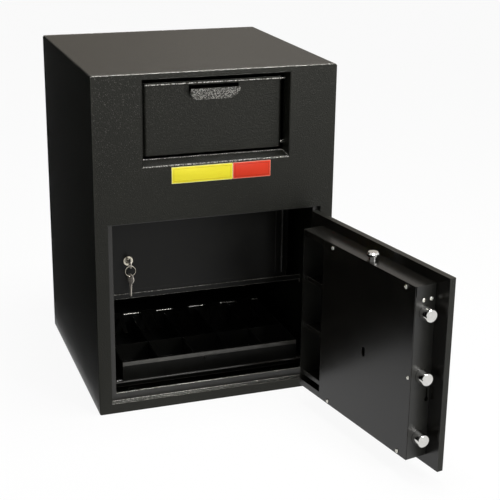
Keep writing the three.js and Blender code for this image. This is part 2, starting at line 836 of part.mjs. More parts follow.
function makeInnerHingeLeaf(onDoor) {
  const side = onDoor ? -1 : 1;
  const faceY = onDoor ? innerDoorFrontY : lockerFrontY;
  const [zStart] = innerHingeKnuckleSpan(0);
  const [, zEnd] = innerHingeKnuckleSpan(innerHingeKnuckles - 1);
  const plateNear = innerHingeX + side * (innerHingeRadius + seat);
  const plateFar = innerHingeX + side * (innerHingeRadius + innerHingeLeafReach);
  let leaf = box(
    Math.min(plateNear, plateFar), Math.max(plateNear, plateFar),
    faceY - innerHingeLeafSheet, faceY, zStart, zEnd,
  );
  for (let i = onDoor ? 1 : 0; i < innerHingeKnuckles; i += 2) {
    const [z0, z1] = innerHingeKnuckleSpan(i);
    const webFar = onDoor ? plateFar : innerHingeX + innerHingeRadius;
    const webFront = Math.min(innerHingeY, faceY - innerHingeLeafSheet);
    const web = box(
      Math.min(innerHingeX, webFar), Math.max(innerHingeX, webFar, plateNear + side),
      webFront, faceY, z0, z1,
    );
    const knuckle = rod('z', innerHingeX, innerHingeY, innerHingeRadius, z0, z1, 12);
    leaf = join(leaf, web, knuckle);
  }
  return cut(leaf, rod('z', innerHingeX, innerHingeY, innerHingePinRadius + seat, zStart - 1, zEnd + 1, 8));
}

function makeInnerHingePin() {
  const [zStart] = innerHingeKnuckleSpan(0);
  const [, zEnd] = innerHingeKnuckleSpan(innerHingeKnuckles - 1);
  return rod('z', innerHingeX, innerHingeY, innerHingePinRadius, zStart, zEnd, 8);
}

// Locker lock. The plug turns in the body; the cam at its back end stands up
// when open and turns behind the locker front's edge when locked.
const lockFaceY = innerDoorFrontY - seat - lockFlangeDepth;
const lockCamY = lockerFrontY + lockerSheet + lockerReturn + 2 * seat;

function makeLockBody() {
  const bore = rod('y', lockX, lockZ, lockPlugRadius + runningFit, lockFaceY - 1, lockCamY, 16);
  return cut(join(
    rod('y', lockX, lockZ, lockFlangeRadius, lockFaceY, lockFaceY + lockFlangeDepth, 20),
    rod('y', lockX, lockZ, lockBarrelRadius, lockFaceY + lockFlangeDepth, lockCamY - seat, 16),
  ), bore);
}

function makeLockPlug() {
  const keyway = box(
    lockX - keySheet / 2 - runningFit, lockX + keySheet / 2 + runningFit,
    lockFaceY - 1, lockFaceY + keyInsertion + keywayEndGap,
    lockZ - keyBladeWidth / 2 - runningFit, lockZ + keyBladeWidth / 2 + runningFit,
  );
  return cut(join(
    rod('y', lockX, lockZ, lockPlugRadius, lockFaceY, lockCamY - seat, 16),
    rod('y', lockX, lockZ, lockPlugRadius / 2, lockCamY - 1, lockCamY + lockCamSheet + lockSpindleTail, 12),
  ), keyway);
}

function makeLockCam() {
  const half = lockCamWidth / 2;
  const plate = roundedRectangle(lockX - half, lockX + half, lockZ - half, lockZ + lockCamLength, 3);
  return cut(
    prism('y', plate, lockCamY, lockCamY + lockCamSheet, 3),
    rod('y', lockX, lockZ, lockPlugRadius / 2 + runningFit, lockCamY - 1, lockCamY + lockCamSheet + 1, 12),
  );
}

// A flat key in the (Y, Z) plane: bow centre, blade direction and bow hole.
function makeKey(bowY, bowZ, bladeTipY, bladeTipZ, holeY, holeZ) {
  const bow = rod('x', bowY, bowZ, keyBowRadius, lockX - keySheet / 2, lockX + keySheet / 2, 20);
  const half = keyBladeWidth / 2;
  const alongY = bladeTipY !== bowY;
  const blade = alongY
    ? box(lockX - keySheet / 2, lockX + keySheet / 2, bowY, bladeTipY, bowZ - half, bowZ + half)
    : box(lockX - keySheet / 2, lockX + keySheet / 2, bowY - half, bowY + half, bladeTipZ, bowZ);
  return cut(join(bow, blade), rod('x', holeY, holeZ, keyHoleRadius, lockX - keySheet, lockX + keySheet, 12));
}

const keyBowY = lockFaceY - keyBowStandOff;
const keyHoleY = keyBowY - keyHoleFromBowCentre * 0.6;
const keyHoleZ = lockZ - keyHoleFromBowCentre * 0.8;
const ringTopZ = keyHoleZ - ringSag;
const ringBottomZ = ringTopZ - 2 * ringRadius;
const spareHoleZ = ringBottomZ - ringSag;

function makeKeyInLock() {
  return makeKey(keyBowY, lockZ, lockFaceY + keyInsertion, lockZ, keyHoleY, keyHoleZ);
}

function makeSpareKey() {
  const bowZ = spareHoleZ - keyHoleFromBowCentre;
  return makeKey(keyHoleY, bowZ, keyHoleY, bowZ + keyBowRadius - keyLength, keyHoleY, spareHoleZ);
}

function makeKeyRing() {
  const geometry = new THREE.TorusGeometry(ringRadius, ringWire, 6, 28);
  geometry.rotateX(Math.PI / 2);
  geometry.translate(lockX, keyHoleY, ringTopZ - ringRadius);
  return toManifold(geometry);
}

// Till shelf: an inverted channel that stands on the body floor.
function makeTillShelf() {
  const y0 = frontY + shelfFrontSetback;
  return join(
    box(-shelfX, shelfX, y0, backInnerY, shelfTop - shelfSheet, shelfTop),
    box(-shelfX, -shelfX + shelfSheet, y0, backInnerY, bodyPlate, shelfTop),
    box(shelfX - shelfSheet, shelfX, y0, backInnerY, bodyPlate, shelfTop),
    box(-shelfX, shelfX, y0, y0 + shelfSheet, shelfTop - shelfFrontFlange, shelfTop),
  );
}

// Till tray: a moulded tray with coin pockets in front, note pockets behind and
// a raised rear strip that carries the clip rod.
function makeTillTray() {
  let tray = join(
    box(trayLeft, trayRight, trayFrontY, trayBackY, shelfTop, trayTop),
    box(trayLeft, trayRight, clipRodY + trayRiseFromRod, trayBackY, trayTop, trayTop + trayRearRise),
    box(
      (trayLeft + trayRight - trayPullWidth) / 2, (trayLeft + trayRight + trayPullWidth) / 2,
      trayFrontY - trayPullDepth, trayFrontY,
      trayTop - 2 * trayPullHeight, trayTop - trayPullHeight,
    ),
  );
  const floor = shelfTop + trayFloor;
  const coinFront = trayFrontY + trayWall;
  const coinBack = coinDividerY - trayWall / 2;
  const coinShape = new THREE.Shape();
  coinShape.moveTo(coinFront, trayTop + 1);
  coinShape.lineTo(coinFront, floor + coinScoopRadius);
  coinShape.absarc(
    coinFront + coinScoopRadius, floor + coinScoopRadius, coinScoopRadius, Math.PI, 1.5 * Math.PI,
  );
  coinShape.lineTo(coinBack, floor);
  coinShape.lineTo(coinBack, trayTop + 1);
  const noteFront = coinDividerY + trayWall / 2;
  const noteBack = clipRodY - clipBarrelRadius - notePocketEndGap;
  for (let i = 0; i < trayColumns; i += 1) {
    const left = trayLeft + trayWall + i * trayPitch;
    const right = left + trayPitch - trayWall;
    tray = cut(
      tray,
      prism('x', coinShape, left, right, 5),
      box(left, right, noteFront, noteBack, floor, trayTop + 1),
    );
    const middle = (left + right) / 2;
    for (const side of [-1, 1]) {
      const near = middle + side * (clipWidth / 2 + trayLugGap);
      const far = near + side * trayLugWidth;
      tray = join(tray, box(
        Math.min(near, far), Math.max(near, far),
        clipRodY - clipBarrelRadius, clipRodY + trayRiseFromRod + 0.5,
        trayTop - 1, clipRodZ + clipBarrelRadius,
      ));
    }
  }
  const bore = rod('x', clipRodY, clipRodZ, clipRodRadius + runningFit, trayLeft - 1, trayRight + 1, 8);
  return cut(tray, bore);
}

function makeClipRod() {
  return rod('x', clipRodY, clipRodZ, clipRodRadius, trayLeft + trayWall, trayRight - trayWall, 8);
}

// Note clip: a barrel on the rod and two prongs that reach forward and down.
function makeNoteClip(index) {
  const middle = trayLeft + trayWall + (index + 0.5) * trayPitch - trayWall / 2;
  const half = clipWidth / 2;
  const plate = new THREE.Shape();
  plate.moveTo(-half, 0);
  plate.lineTo(half, 0);
  plate.lineTo(half, -clipLength);
  plate.lineTo(half - clipProngWidth, -clipLength);
  plate.lineTo(half - clipProngWidth, -clipBarrelRadius - clipBridge);
  plate.lineTo(-half + clipProngWidth, -clipBarrelRadius - clipBridge);
  plate.lineTo(-half + clipProngWidth, -clipLength);
  plate.lineTo(-half, -clipLength);
  const geometry = new THREE.ExtrudeGeometry(plate, { depth: clipSheet, bevelEnabled: false });
  geometry.translate(0, 0, clipBarrelRadius - clipSheet);
  geometry.rotateX(degrees(clipDropDegrees));
  geometry.translate(middle, clipRodY, clipRodZ);
  const barrel = rod('x', clipRodY, clipRodZ, clipBarrelRadius, middle - half, middle + half, 12);
  const bore = clipRodRadius + runningFit;
  return cut(
    join(toManifold(geometry), barrel),
    rod('x', clipRodY, clipRodZ, bore, middle - half - 1, middle + half + 1, 8),
  );
}

// Door pieces take their places in door terms: how far from the hinge edge, how
// deep behind the door plate's inner face, and the height.
function doorBox(fromHinge0, fromHinge1, depth0, depth1, z0, z1) {
  const [x0, x1] = [doorHingeX - fromHinge1, doorHingeX - fromHinge0];
  return box(x0, x1, doorInnerY + depth0, doorInnerY + depth1, z0, z1);
}

function doorRod(fromHinge, z, radius, depth0, depth1, sides = 20) {
  return rod('y', doorHingeX - fromHinge, z, radius, doorInnerY + depth0, doorInnerY + depth1, sides);
}

const barWebInner = barFlangeOuter - barThickness - barWebWidth;
const guideHeights = [
  boltMiddleHeight - boltSpacing + guideAboveLowerBolt,
  boltMiddleHeight + boltSpacing - guideBelowUpperBolt,
];
const guideFromHinge = barWebInner - guideFromWeb;
const topPinFromHinge = topBoltFromHinge - topPinFromStem;

function makeDoorPlate() {
  let plate = box(
    -doorWidth / 2, doorWidth / 2, frontY, doorInnerY, doorBottom, doorTop,
  );
  for (const z of guideHeights) {
    plate = join(plate, doorRod(guideFromHinge, z, guideStudRadius, -1, guideStudHeight, 12));
  }
  return cut(
    plate,
    doorRod(handleAxisFromHinge, handleAxisHeight, handleShaftRadius + runningFit, -doorThickness - 1, 1, 16),
    doorRod(lockFromHinge, lockHeight, dialSpindleRadius + runningFit, -doorThickness - 1, 1, 12),
  );
}

// Bolt box: folded sheet walls on the door plate, with a divider that sets the
// open coin rack apart, flanges for the back cover and a folded top tab.
function makeBoltBox() {
  const [h0, h1] = [boxHingeEdge, boxFreeEdge];
  const dividerOuter = h0 + rackWidth;
  const wallDepth = boxDepth - coverSheet - seat;
  const flangeDepth = wallDepth - boxSheet;
  const lip = boxDepth - boxSheet;
  let bolts = join(
    doorBox(h0, h0 + boxSheet, seat, boxDepth, boxBottom, boxTop),
    doorBox(dividerOuter - boxSheet, dividerOuter, seat, wallDepth, boxBottom, boxTop),
    doorBox(h1 - boxSheet, h1, seat, wallDepth, boxBottom, boxTop),
    doorBox(h0, h1, seat, wallDepth, boxTop - boxSheet, boxTop),
    doorBox(h0, h1, seat, wallDepth, boxBottom, boxBottom + boxSheet),
    doorBox(h0, dividerOuter, lip, boxDepth, boxTop - rackLipHeight, boxTop),
    doorBox(h0, dividerOuter, lip, boxDepth, boxBottom, boxBottom + rackLipHeight),
    doorBox(dividerOuter - boxSheet, dividerOuter, seat, boxDepth, boxBottom, boxTop),
    doorBox(h0, dividerOuter, seat, boxDepth, boxTop - boxSheet, boxTop),
    doorBox(h0, dividerOuter, seat, boxDepth, boxBottom, boxBottom + boxSheet),
    doorBox(dividerOuter, h1, flangeDepth, wallDepth, boxTop - coverFlange, boxTop),
    doorBox(dividerOuter, h1, flangeDepth, wallDepth, boxBottom, boxBottom + coverFlange),
    doorBox(h1 - coverFlange, h1, flangeDepth, wallDepth, boxBottom, boxTop),
    doorBox(
      h1 - boxSheet, h1 + foldedTabSheet, foldedTabStart, wallDepth, boxTop - foldedTabHeight, boxTop,
    ),
  );
  for (const z of boltHeights()) {
    const x = doorHingeX - h1;
    bolts = cut(bolts, rod(
      'x', doorInnerY + boltAxisDepth, z, boltRadius + boltHoleClearance, x - 5, x + boxSheet + 5, 20,
    ));
  }
  const freeX = doorHingeX - h1;
  const keyholeY = doorInnerY + keyholeSlotDepth;
  return cut(
    bolts,
    rod(
      'z', doorHingeX - topBoltFromHinge, doorInnerY + topBoltDepth,
      topBoltStemRadius + boltHoleClearance, boxTop - boxSheet - 1, boxTop + 1, 16,
    ),
    rod('x', keyholeY, keyholeRoundHeight, keyholeRoundRadius, freeX - 1, freeX + boxSheet + 1, 12),
    slot(
      'x', [keyholeY, keyholeRoundHeight], [keyholeY, keyholeSlotTop - keyholeSlotWidth / 2],
      keyholeSlotWidth / 2, freeX - 1, freeX + boxSheet + 1,
    ),
    ...sideScrewDepths.map((depth) => rod(
      'x', doorInnerY + depth, sideScrewHeight, screwShankRadius + runningFit,
      freeX - 1, freeX + boxSheet + 1, 8,
    )),
    ...coverScrewPlaces().map(([a, z]) => doorRod(
      a, z, screwShankRadius + runningFit, flangeDepth - 1, wallDepth + 1, 8,
    )),
  );
}

function boltHeights() {
  return [-1, 0, 1].map((step) => boltMiddleHeight + step * boltSpacing);
}

function coverScrewPlaces() {
  const low = boxBottom + coverFlange / 2;
  const high = boxTop - coverFlange / 2 - coverScrewTopDrop;
  const nearRack = boxHingeEdge + rackWidth + coverScrewFromRack;
  const nearFree = boxFreeEdge - coverScrewFromFreeEdge;
  return [
    [nearRack, high],
    [nearFree, high],
    [boxFreeEdge - coverFlange / 2, boltMiddleHeight - coverScrewMiddleDrop],
    [nearRack, low],
    [nearFree, low],
  ];
}

function makeBackCover() {
  const start = boxHingeEdge + rackWidth + seat;
  const plate = doorBox(start, boxFreeEdge, boxDepth - coverSheet, boxDepth, boxBottom, boxTop);
  const halfSlot = (changeKeyHoleLength - changeKeyHoleWidth) / 2;
  const x = doorHingeX - lockFromHinge;
  return cut(
    plate,
    slot(
      'y', [x, changeKeyHoleHeight - halfSlot], [x, changeKeyHoleHeight + halfSlot],
      changeKeyHoleWidth / 2, doorInnerY + boxDepth - coverSheet - 1, doorInnerY + boxDepth + 1,
    ),
    ...coverScrewPlaces().map(([a, z]) => doorRod(
      a, z, screwShankRadius + runningFit, boxDepth - coverSheet - 1, boxDepth + 1, 8,
    )),
  );
}

// A round-headed screw: a shank and a low domed head, as a turned profile.
function screwProfile(shankLength) {
  return [
    [0, -shankLength],
    [screwShankRadius, -shankLength],
    [screwShankRadius, 0],
    [screwHeadRadius, 0],
    [screwHeadRadius, 0.4 * screwHeadHeight],
    [0.6 * screwHeadRadius, 0.9 * screwHeadHeight],
    [0, screwHeadHeight],
  ];
}

function makeCoverScrew([fromHinge, z]) {
  const y = doorInnerY + boxDepth + seat;
  return turnedAlong('y', screwProfile(screwShankLength), doorHingeX - fromHinge, y, z, 10);
}

function makeSideScrew(depth) {
  return turnedAlong(
    '-x', screwProfile(sideScrewShankLength),
    doorHingeX - boxFreeEdge - seat, doorInnerY + depth, sideScrewHeight, 10,
  );
}

function makeRackShelf(z) {
  const [a0, a1] = [boxHingeEdge + boxSheet + seat, boxHingeEdge + rackWidth - boxSheet - seat];
  return join(
    doorBox(a0, a1, seat, boxDepth - 2 * boxSheet, z, z + coverSheet),
    doorBox(a0, a1, boxDepth - 2 * boxSheet - coverSheet, boxDepth - 2 * boxSheet, z, z + rackShelfLip),
  );
}

// Bolt bar: an angle whose flange carries the bolts and whose web slides on two
// studs. One arm takes the handle's pin, another drives the top bolt.
function makeBoltBar() {
  const z0 = boltMiddleHeight - boltSpacing - barEndMargin;
  const z1 = boltMiddleHeight + boltSpacing + barEndMargin;
  const [n0, n1] = [barLift, barLift + barThickness];
  const flangeInner = barFlangeOuter - barThickness;
  const restPin = handleAxisFromHinge - boltThrow / 2;
  const pinHigh = handleAxisHeight + camPinOrbit;
  const pinLow = handleAxisHeight + camPinOrbit * Math.cos(degrees(camSwingDegrees / 2));
  const slotRadius = drivePinRadius + driveSlotClearance;
  const studSlotRadius = guideStudRadius + driveSlotClearance;
  let bar = join(
    doorBox(barWebInner, barFlangeOuter, n0, n1, z0, z1),
    doorBox(flangeInner, barFlangeOuter, n0, barFlangeDepth, z0, z1),
    doorBox(
      restPin - barSlotMargin, barWebInner + 1, n0, n1,
      pinLow - barSlotMargin, pinHigh + barSlotMargin,
    ),
    doorBox(
      topPinFromHinge - topLinkEnd, barWebInner + 1, n0, n1,
      topLinkHeight - topLinkWidth / 2, topLinkHeight + topLinkWidth / 2,
    ),
    doorRod(topPinFromHinge, topLinkHeight, drivePinRadius, n1 - 1, n1 + topPinReach, 12),
  );
  for (const z of guideHeights) {
    bar = join(bar, doorBox(
      guideFromHinge - boltThrow - barSlotMargin, barWebInner + 1, n0, n1,
      z - guideArmHalfWidth, z + guideArmHalfWidth,
    ));
    bar = cut(bar, slot(
      'y', [doorHingeX - guideFromHinge, z], [doorHingeX - guideFromHinge + boltThrow, z],
      studSlotRadius, doorInnerY + n0 - 1, doorInnerY + n1 + 1,
    ));
  }
  return cut(bar, slot(
    'y', [doorHingeX - restPin, pinLow], [doorHingeX - restPin, pinHigh],
    slotRadius, doorInnerY + n0 - 1, doorInnerY + n1 + 1,
  ));
}

function makeBolt(z) {
  const length = boltInnerEnd - barFlangeOuter - seat;
  const profile = [
    [0, 0],
    [boltRadius, 0],
    [boltRadius, length - boltChamfer],
    [boltRadius - boltChamfer, length],
    [0, length],
  ];
  return turnedAlong(
    '-x', profile, doorHingeX - barFlangeOuter - seat, doorInnerY + boltAxisDepth, z, 28,
  );
}

// Top bolt: a mushroom-headed stem on a foot plate whose sloping slot turns the
// bar's sideways travel into lift.
function makeTopBolt() {
  const x = doorHingeX - topBoltFromHinge;
  const y = doorInnerY + topBoltDepth;
  const headTop = boxTop + topBoltShown;
  const footFront = barLift + barThickness + 2 * seat;
  const footBack = footFront + barThickness;
  const footTop = topLinkHeight + topFootRise;
  const slotRadius = drivePinRadius + driveSlotClearance;
  const pinX = doorHingeX - topPinFromHinge;
  const head = turnedAlong('z', [
    [0, 0],
    [topBoltStemRadius, 0],
    [topBoltStemRadius, headTop - footTop - topBoltHeadHeight],
    [topBoltHeadRadius, headTop - footTop - topBoltHeadHeight + topBoltHeadFlare],
    [topBoltHeadRadius, headTop - footTop - topBoltHeadBevel],
    [topBoltHeadRadius - topBoltHeadBevel, headTop - footTop],
    [0, headTop - footTop],
  ], x, y, footTop, 24);
  const foot = join(
    doorBox(
      topPinFromHinge - barSlotMargin, topPinFromHinge + boltThrow + barSlotMargin, footFront, footBack,
      topLinkHeight - topBoltThrow - barSlotMargin, footTop,
    ),
    doorBox(
      topBoltFromHinge - topFootLedgeHalfWidth, topBoltFromHinge + topFootLedgeHalfWidth,
      footFront, topBoltDepth + topBoltStemRadius,
      footTop - topFootLedge, footTop + 1,
    ),
  );
  return cut(join(head, foot), slot(
    'y', [pinX, topLinkHeight], [pinX - boltThrow, topLinkHeight - topBoltThrow],
    slotRadius, doorInnerY + footFront - 1, doorInnerY + footBack + 1,
  ));
}

// Handle cam: a plate on the handle shaft, with the pin that moves the bar. At
// rest the bolts are drawn back and the pin leans towards the hinge side.
function makeHandleCam() {
  const rest = degrees(camSwingDegrees / 2);
  const pinFromHinge = handleAxisFromHinge - camPinOrbit * Math.sin(rest);
  const pinZ = handleAxisHeight + camPinOrbit * Math.cos(rest);
  const [n0, n1] = [camLift, camLift + camThickness];
  const x = doorHingeX - handleAxisFromHinge;
  return cut(
    join(
      slot(
        'y', [x, handleAxisHeight], [doorHingeX - pinFromHinge, pinZ],
        handleShaftRadius + handleCamEyeWall, doorInnerY + n0, doorInnerY + n1,
      ),
      doorRod(pinFromHinge, pinZ, drivePinRadius, n1 - 1, barLift + barThickness + 2, 12),
    ),
    doorRod(handleAxisFromHinge, handleAxisHeight, handleShaftRadius + runningFit, n0 - 1, n1 + 1, 16),
  );
}

function makeHandle() {
  const x = doorHingeX - handleAxisFromHinge;
  const hubBack = frontY - seat;
  const hubFront = hubBack - handleHubDepth;
  const lever = roundedRectangle(
    x - handleLeverWidth / 2, x + handleLeverWidth / 2,
    handleAxisHeight - handleLeverLength, handleAxisHeight, handleLeverCorner,
  );
  return join(
    turnedAlong('-y', [
      [0, 0],
      [handleHubRadius, 0],
      [handleHubRadius, handleFlangeDepth],
      [handleHubRadius - handleNeckInset, handleNeckStart],
      [handleHubRadius - handleNeckInset, handleHubDepth],
      [0, handleHubDepth],
    ], x, hubBack, handleAxisHeight, 20),
    prism('y', lever, hubFront - handleLeverFront, hubFront + handleLeverBack, 4),
    rod('y', x, handleAxisHeight, handleShaftRadius, hubBack - 1, doorInnerY + camLift + camThickness, 16),
  );
}

function makeLockCase() {
  const half = lockCaseWidth / 2;
  const halfHeight = lockCaseHeight / 2;
  const x = doorHingeX - lockFromHinge;
  const body = prism(
    'y',
    roundedRectangle(x - half, x + half, lockHeight - halfHeight, lockHeight + halfHeight, lockCaseCorner),
    doorInnerY + seat, doorInnerY + seat + lockCaseDepth, 3,
  );
  const bore = dialSpindleRadius + runningFit;
  return cut(body, doorRod(lockFromHinge, lockHeight, bore, -1, lockCaseDepth - lockCaseWall, 12));
}

function makeDialRing() {
  const x = doorHingeX - lockFromHinge;
  const ring = rod('y', x, lockHeight, dialRingRadius, frontY - seat - dialRingDepth, frontY - seat, 32);
  return cut(ring, rod(
    'y', x, lockHeight, dialRadius + 2 * runningFit, frontY - dialRingDepth - 2, frontY + 1, 32,
  ));
}

function makeDial() {
  const x = doorHingeX - lockFromHinge;
  const spindleEnd = doorInnerY + lockCaseDepth - lockCaseWall - 1;
  return join(
    turnedAlong('-y', [
      [0, 0],
      [dialRadius, 0],
      [dialRadius, dialSkirtDepth],
      [dialRadius - dialBevel, dialSkirtDepth + dialBevel],
      [dialKnobRadius + dialKnobFlare, dialKnobStart],
      [dialKnobRadius, dialDepth - dialKnobBevel],
      [dialKnobRadius - dialKnobBevel, dialDepth],
      [0, dialDepth],
    ], x, frontY - 2 * seat, lockHeight, 36),
    rod('y', x, lockHeight, dialSpindleRadius, frontY - 2 * seat - 1, spindleEnd, 12),
  );
}

// Lift-off hinge: the lower knuckle and its pin stay on the body, the upper
// knuckle lifts off with the door.
function makeHingeBodyHalf(bottom) {
  const top = bottom + hingeKnuckleLength;
  const pinTop = top + hingeKnuckleLength - 2;
  const leafFar = hingeAxisX + hingeBodyLeafReach;
  return join(
    rod('z', hingeAxisX, hingeAxisY, hingeBarrelRadius, bottom, top, 20),
    box(hingeAxisX, hingeAxisX + hingeBarrelRadius, hingeAxisY, frontY, bottom, top),
    box(hingeAxisX + doorSideGap, leafFar, frontY - hingeLeafThickness, frontY, bottom, top),
    rod('z', hingeAxisX, hingeAxisY, hingePinRadius, top - 1, pinTop, 14),
  );
}

function makeHingeDoorHalf(bottom) {
  const z0 = bottom + hingeKnuckleLength + seat;
  const z1 = bottom + 2 * hingeKnuckleLength;
  const face = frontY - seat;
  const barrel = rod('z', hingeAxisX, hingeAxisY, hingeBarrelRadius, z0, z1, 20);
  const web = box(hingeAxisX - hingeBarrelRadius, hingeAxisX - hingeAxisSide, hingeAxisY, face, z0, z1);
  const leaf = box(
    doorHingeX - hingeDoorLeafReach, doorHingeX - hingeAxisSide, face - hingeLeafThickness, face, z0, z1,
  );
  return cut(
    join(barrel, web, leaf),
    rod('z', hingeAxisX, hingeAxisY, hingePinRadius + runningFit, z0 - 1, z1 + 1, 14),
  );
}

// Assembly

const safe = new THREE.Group();
safe.add(
  part('body_shell', makeBodyShell(), texturedPowderCoat),
  part('back_panel', makeBackPanel(), texturedPowderCoat),
  part('front_panel', makeFrontPanel(), texturedPowderCoat),
  part('door_frame', makeDoorFrame(), texturedPowderCoat),
  part('hopper_surround', makeHopperSurround(), texturedPowderCoat),
  part('hopper_rod', makeHopperRod(), zincPlatedSteel),
  part('hopper_face', makeHopperFace(), texturedPowderCoat),
  part('hopper_floor', makeHopperFloor(), smoothBlackPaint),
  part('hopper_guard', makeHopperGuard(), smoothBlackPaint),
  part('deposit_chute', makeDepositChute(), smoothBlackPaint),
  part('locker_floor', makeLockerFloor(), smoothBlackPaint),
  part('locker_side_left', makeLockerSide(-1), smoothBlackPaint),
  part('locker_side_right', makeLockerSide(1), smoothBlackPaint),
  part('locker_front', makeLockerFront(), smoothBlackPaint),
  part('inner_door', makeInnerDoor(), smoothBlackPaint),
  part('inner_hinge_frame_leaf', makeInnerHingeLeaf(false), smoothBlackPaint),
  part('inner_hinge_door_leaf', makeInnerHingeLeaf(true), smoothBlackPaint),
  part('inner_hinge_pin', makeInnerHingePin(), zincPlatedSteel),
  part('inner_lock_body', makeLockBody(), nickelPlatedBrass),
  part('inner_lock_plug', makeLockPlug(), nickelPlatedBrass),
  part('inner_lock_cam', makeLockCam(), zincPlatedSteel),
  part('key_in_lock', makeKeyInLock(), nickelPlatedBrass),
  part('key_ring', makeKeyRing(), nickelPlatedBrass),
  part('spare_key', makeSpareKey(), nickelPlatedBrass),
  part('till_shelf', makeTillShelf(), smoothBlackPaint),
  part('till_tray', makeTillTray(), blackPlastic),
  part('clip_rod', makeClipRod(), zincPlatedSteel),
);
for (let i = 0; i < trayColumns; i += 1) {
  safe.add(part(`note_clip_${i + 1}`, makeNoteClip(i), blackPlastic));
}
safe.add(
  part('lower_hinge_body_half', makeHingeBodyHalf(lowerHingeBottom), texturedPowderCoat),
  part('upper_hinge_body_half', makeHingeBodyHalf(upperHingeBottom), texturedPowderCoat),
);

const doorPieces = new THREE.Group();
doorPieces.add(
  part('door_plate', makeDoorPlate(), smoothBlackPaint),
  part('bolt_box', makeBoltBox(), smoothBlackPaint),
  part('back_cover', makeBackCover(), smoothBlackPaint),
  part('lower_hinge_door_half', makeHingeDoorHalf(lowerHingeBottom), texturedPowderCoat),
  part('upper_hinge_door_half', makeHingeDoorHalf(upperHingeBottom), texturedPowderCoat),
  part('bolt_bar', makeBoltBar(), zincPlatedSteel),
  part('top_bolt', makeTopBolt(), chromedSteel),
  part('handle', makeHandle(), chromedSteel),
  part('handle_cam', makeHandleCam(), zincPlatedSteel),
  part('lock_case', makeLockCase(), zincCasting),
  part('dial_ring', makeDialRing(), chromedSteel),
  part('dial', makeDial(), blackPlastic),
);
boltHeights().forEach((z, i) => {
  doorPieces.add(part(`${['lower', 'middle', 'upper'][i]}_bolt`, makeBolt(z), chromedSteel));
});
rackShelfRises.forEach((rise, i) => {
  doorPieces.add(part(`rack_shelf_${i + 1}`, makeRackShelf(boxBottom + rise), smoothBlackPaint));
});
coverScrewPlaces().forEach((place, i) => {
  doorPieces.add(part(`cover_screw_${i + 1}`, makeCoverScrew(place), zincPlatedSteel));
});
sideScrewDepths.forEach((depth, i) => {
  doorPieces.add(part(`side_screw_${i + 1}`, makeSideScrew(depth), zincPlatedSteel));
});

// The door turns open about its hinge axis.
doorPieces.position.set(-hingeAxisX, -hingeAxisY, 0);
const doorSwing = new THREE.Group();
doorSwing.add(doorPieces);
doorSwing.position.set(hingeAxisX, hingeAxisY, 0);
doorSwing.rotation.z = degrees(doorOpenDegrees);
safe.add(doorSwing);

export default safe;
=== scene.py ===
# %% [markdown]
# # A drop safe with its door open
#
# The steel body, the door, the deposit hopper and the till are already solved
# as a fixed frame: every part has its place, its joint and its size. This
# lesson dresses that frame. Each part gets the finish that it has on the real
# safe, and the parts that a viewer looks at closely get a finer surface.
#
# %% Load the fixed frame
import json
import math

import bmesh
import bpy
import numpy as np
from mathutils import Matrix, Vector

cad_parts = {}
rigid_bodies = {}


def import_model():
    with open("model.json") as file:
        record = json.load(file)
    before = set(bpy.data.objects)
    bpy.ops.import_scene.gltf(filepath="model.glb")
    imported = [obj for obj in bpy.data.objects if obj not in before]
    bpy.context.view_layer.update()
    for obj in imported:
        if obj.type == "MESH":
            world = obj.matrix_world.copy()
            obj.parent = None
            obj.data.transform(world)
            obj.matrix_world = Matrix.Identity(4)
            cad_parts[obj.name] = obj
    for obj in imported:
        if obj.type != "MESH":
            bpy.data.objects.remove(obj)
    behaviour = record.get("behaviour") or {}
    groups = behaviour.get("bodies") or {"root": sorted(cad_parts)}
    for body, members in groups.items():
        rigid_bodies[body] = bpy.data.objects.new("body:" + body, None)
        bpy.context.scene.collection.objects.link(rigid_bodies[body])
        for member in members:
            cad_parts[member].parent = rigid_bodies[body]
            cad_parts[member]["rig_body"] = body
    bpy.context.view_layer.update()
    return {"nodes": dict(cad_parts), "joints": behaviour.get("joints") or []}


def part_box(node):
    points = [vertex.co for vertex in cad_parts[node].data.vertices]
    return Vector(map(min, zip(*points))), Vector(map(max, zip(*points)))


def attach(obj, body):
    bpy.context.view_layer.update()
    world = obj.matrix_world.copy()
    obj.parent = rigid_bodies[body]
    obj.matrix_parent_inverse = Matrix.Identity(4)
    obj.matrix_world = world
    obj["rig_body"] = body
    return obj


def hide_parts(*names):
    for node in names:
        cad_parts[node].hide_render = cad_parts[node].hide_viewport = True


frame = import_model()
nodes = frame["nodes"]
body_of_node = {name: obj["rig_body"] for name, obj in nodes.items()}
slot_of_node = {name: obj.data.materials[0].name for name, obj in nodes.items()}
MM = 0.001

# %% [markdown]
# ## The camera
#
# The picture was taken from the front left, from above the top of the safe.
# The place, the turn and the lens were worked out from the corners of the body
# and of the door, so the same corners fall in the same places here.
#
# %% Camera
CAMERA_PLACE = (-0.7084, -2.4391, 1.1471)
CAMERA_YAW = 0.342565
CAMERA_PITCH = 0.317404
CAMERA_ROLL = -0.013088
FOCAL_PIXELS = 1184.8
PICTURE_PIXELS = 500
SENSOR_WIDTH = 36.0
CENTRE_DROP_PIXELS = 25


def camera_axes(yaw, pitch, roll):
    """The look direction is +Y turned by yaw and dipped by pitch, and roll then turns the picture."""
    look = Vector((math.sin(yaw) * math.cos(pitch), math.cos(yaw) * math.cos(pitch), -math.sin(pitch)))
    right = Vector((math.cos(yaw), -math.sin(yaw), 0))
    down = look.cross(right)
    rolled_right = math.cos(roll) * right + math.sin(roll) * down
    rolled_down = math.cos(roll) * down - math.sin(roll) * right
    return rolled_right, -rolled_down, -look


def put_in_scene(name, data):
    """An object that shows a mesh, a lamp or a camera, linked into the scene."""
    thing = bpy.data.objects.new(name, data)
    bpy.context.scene.collection.objects.link(thing)
    return thing


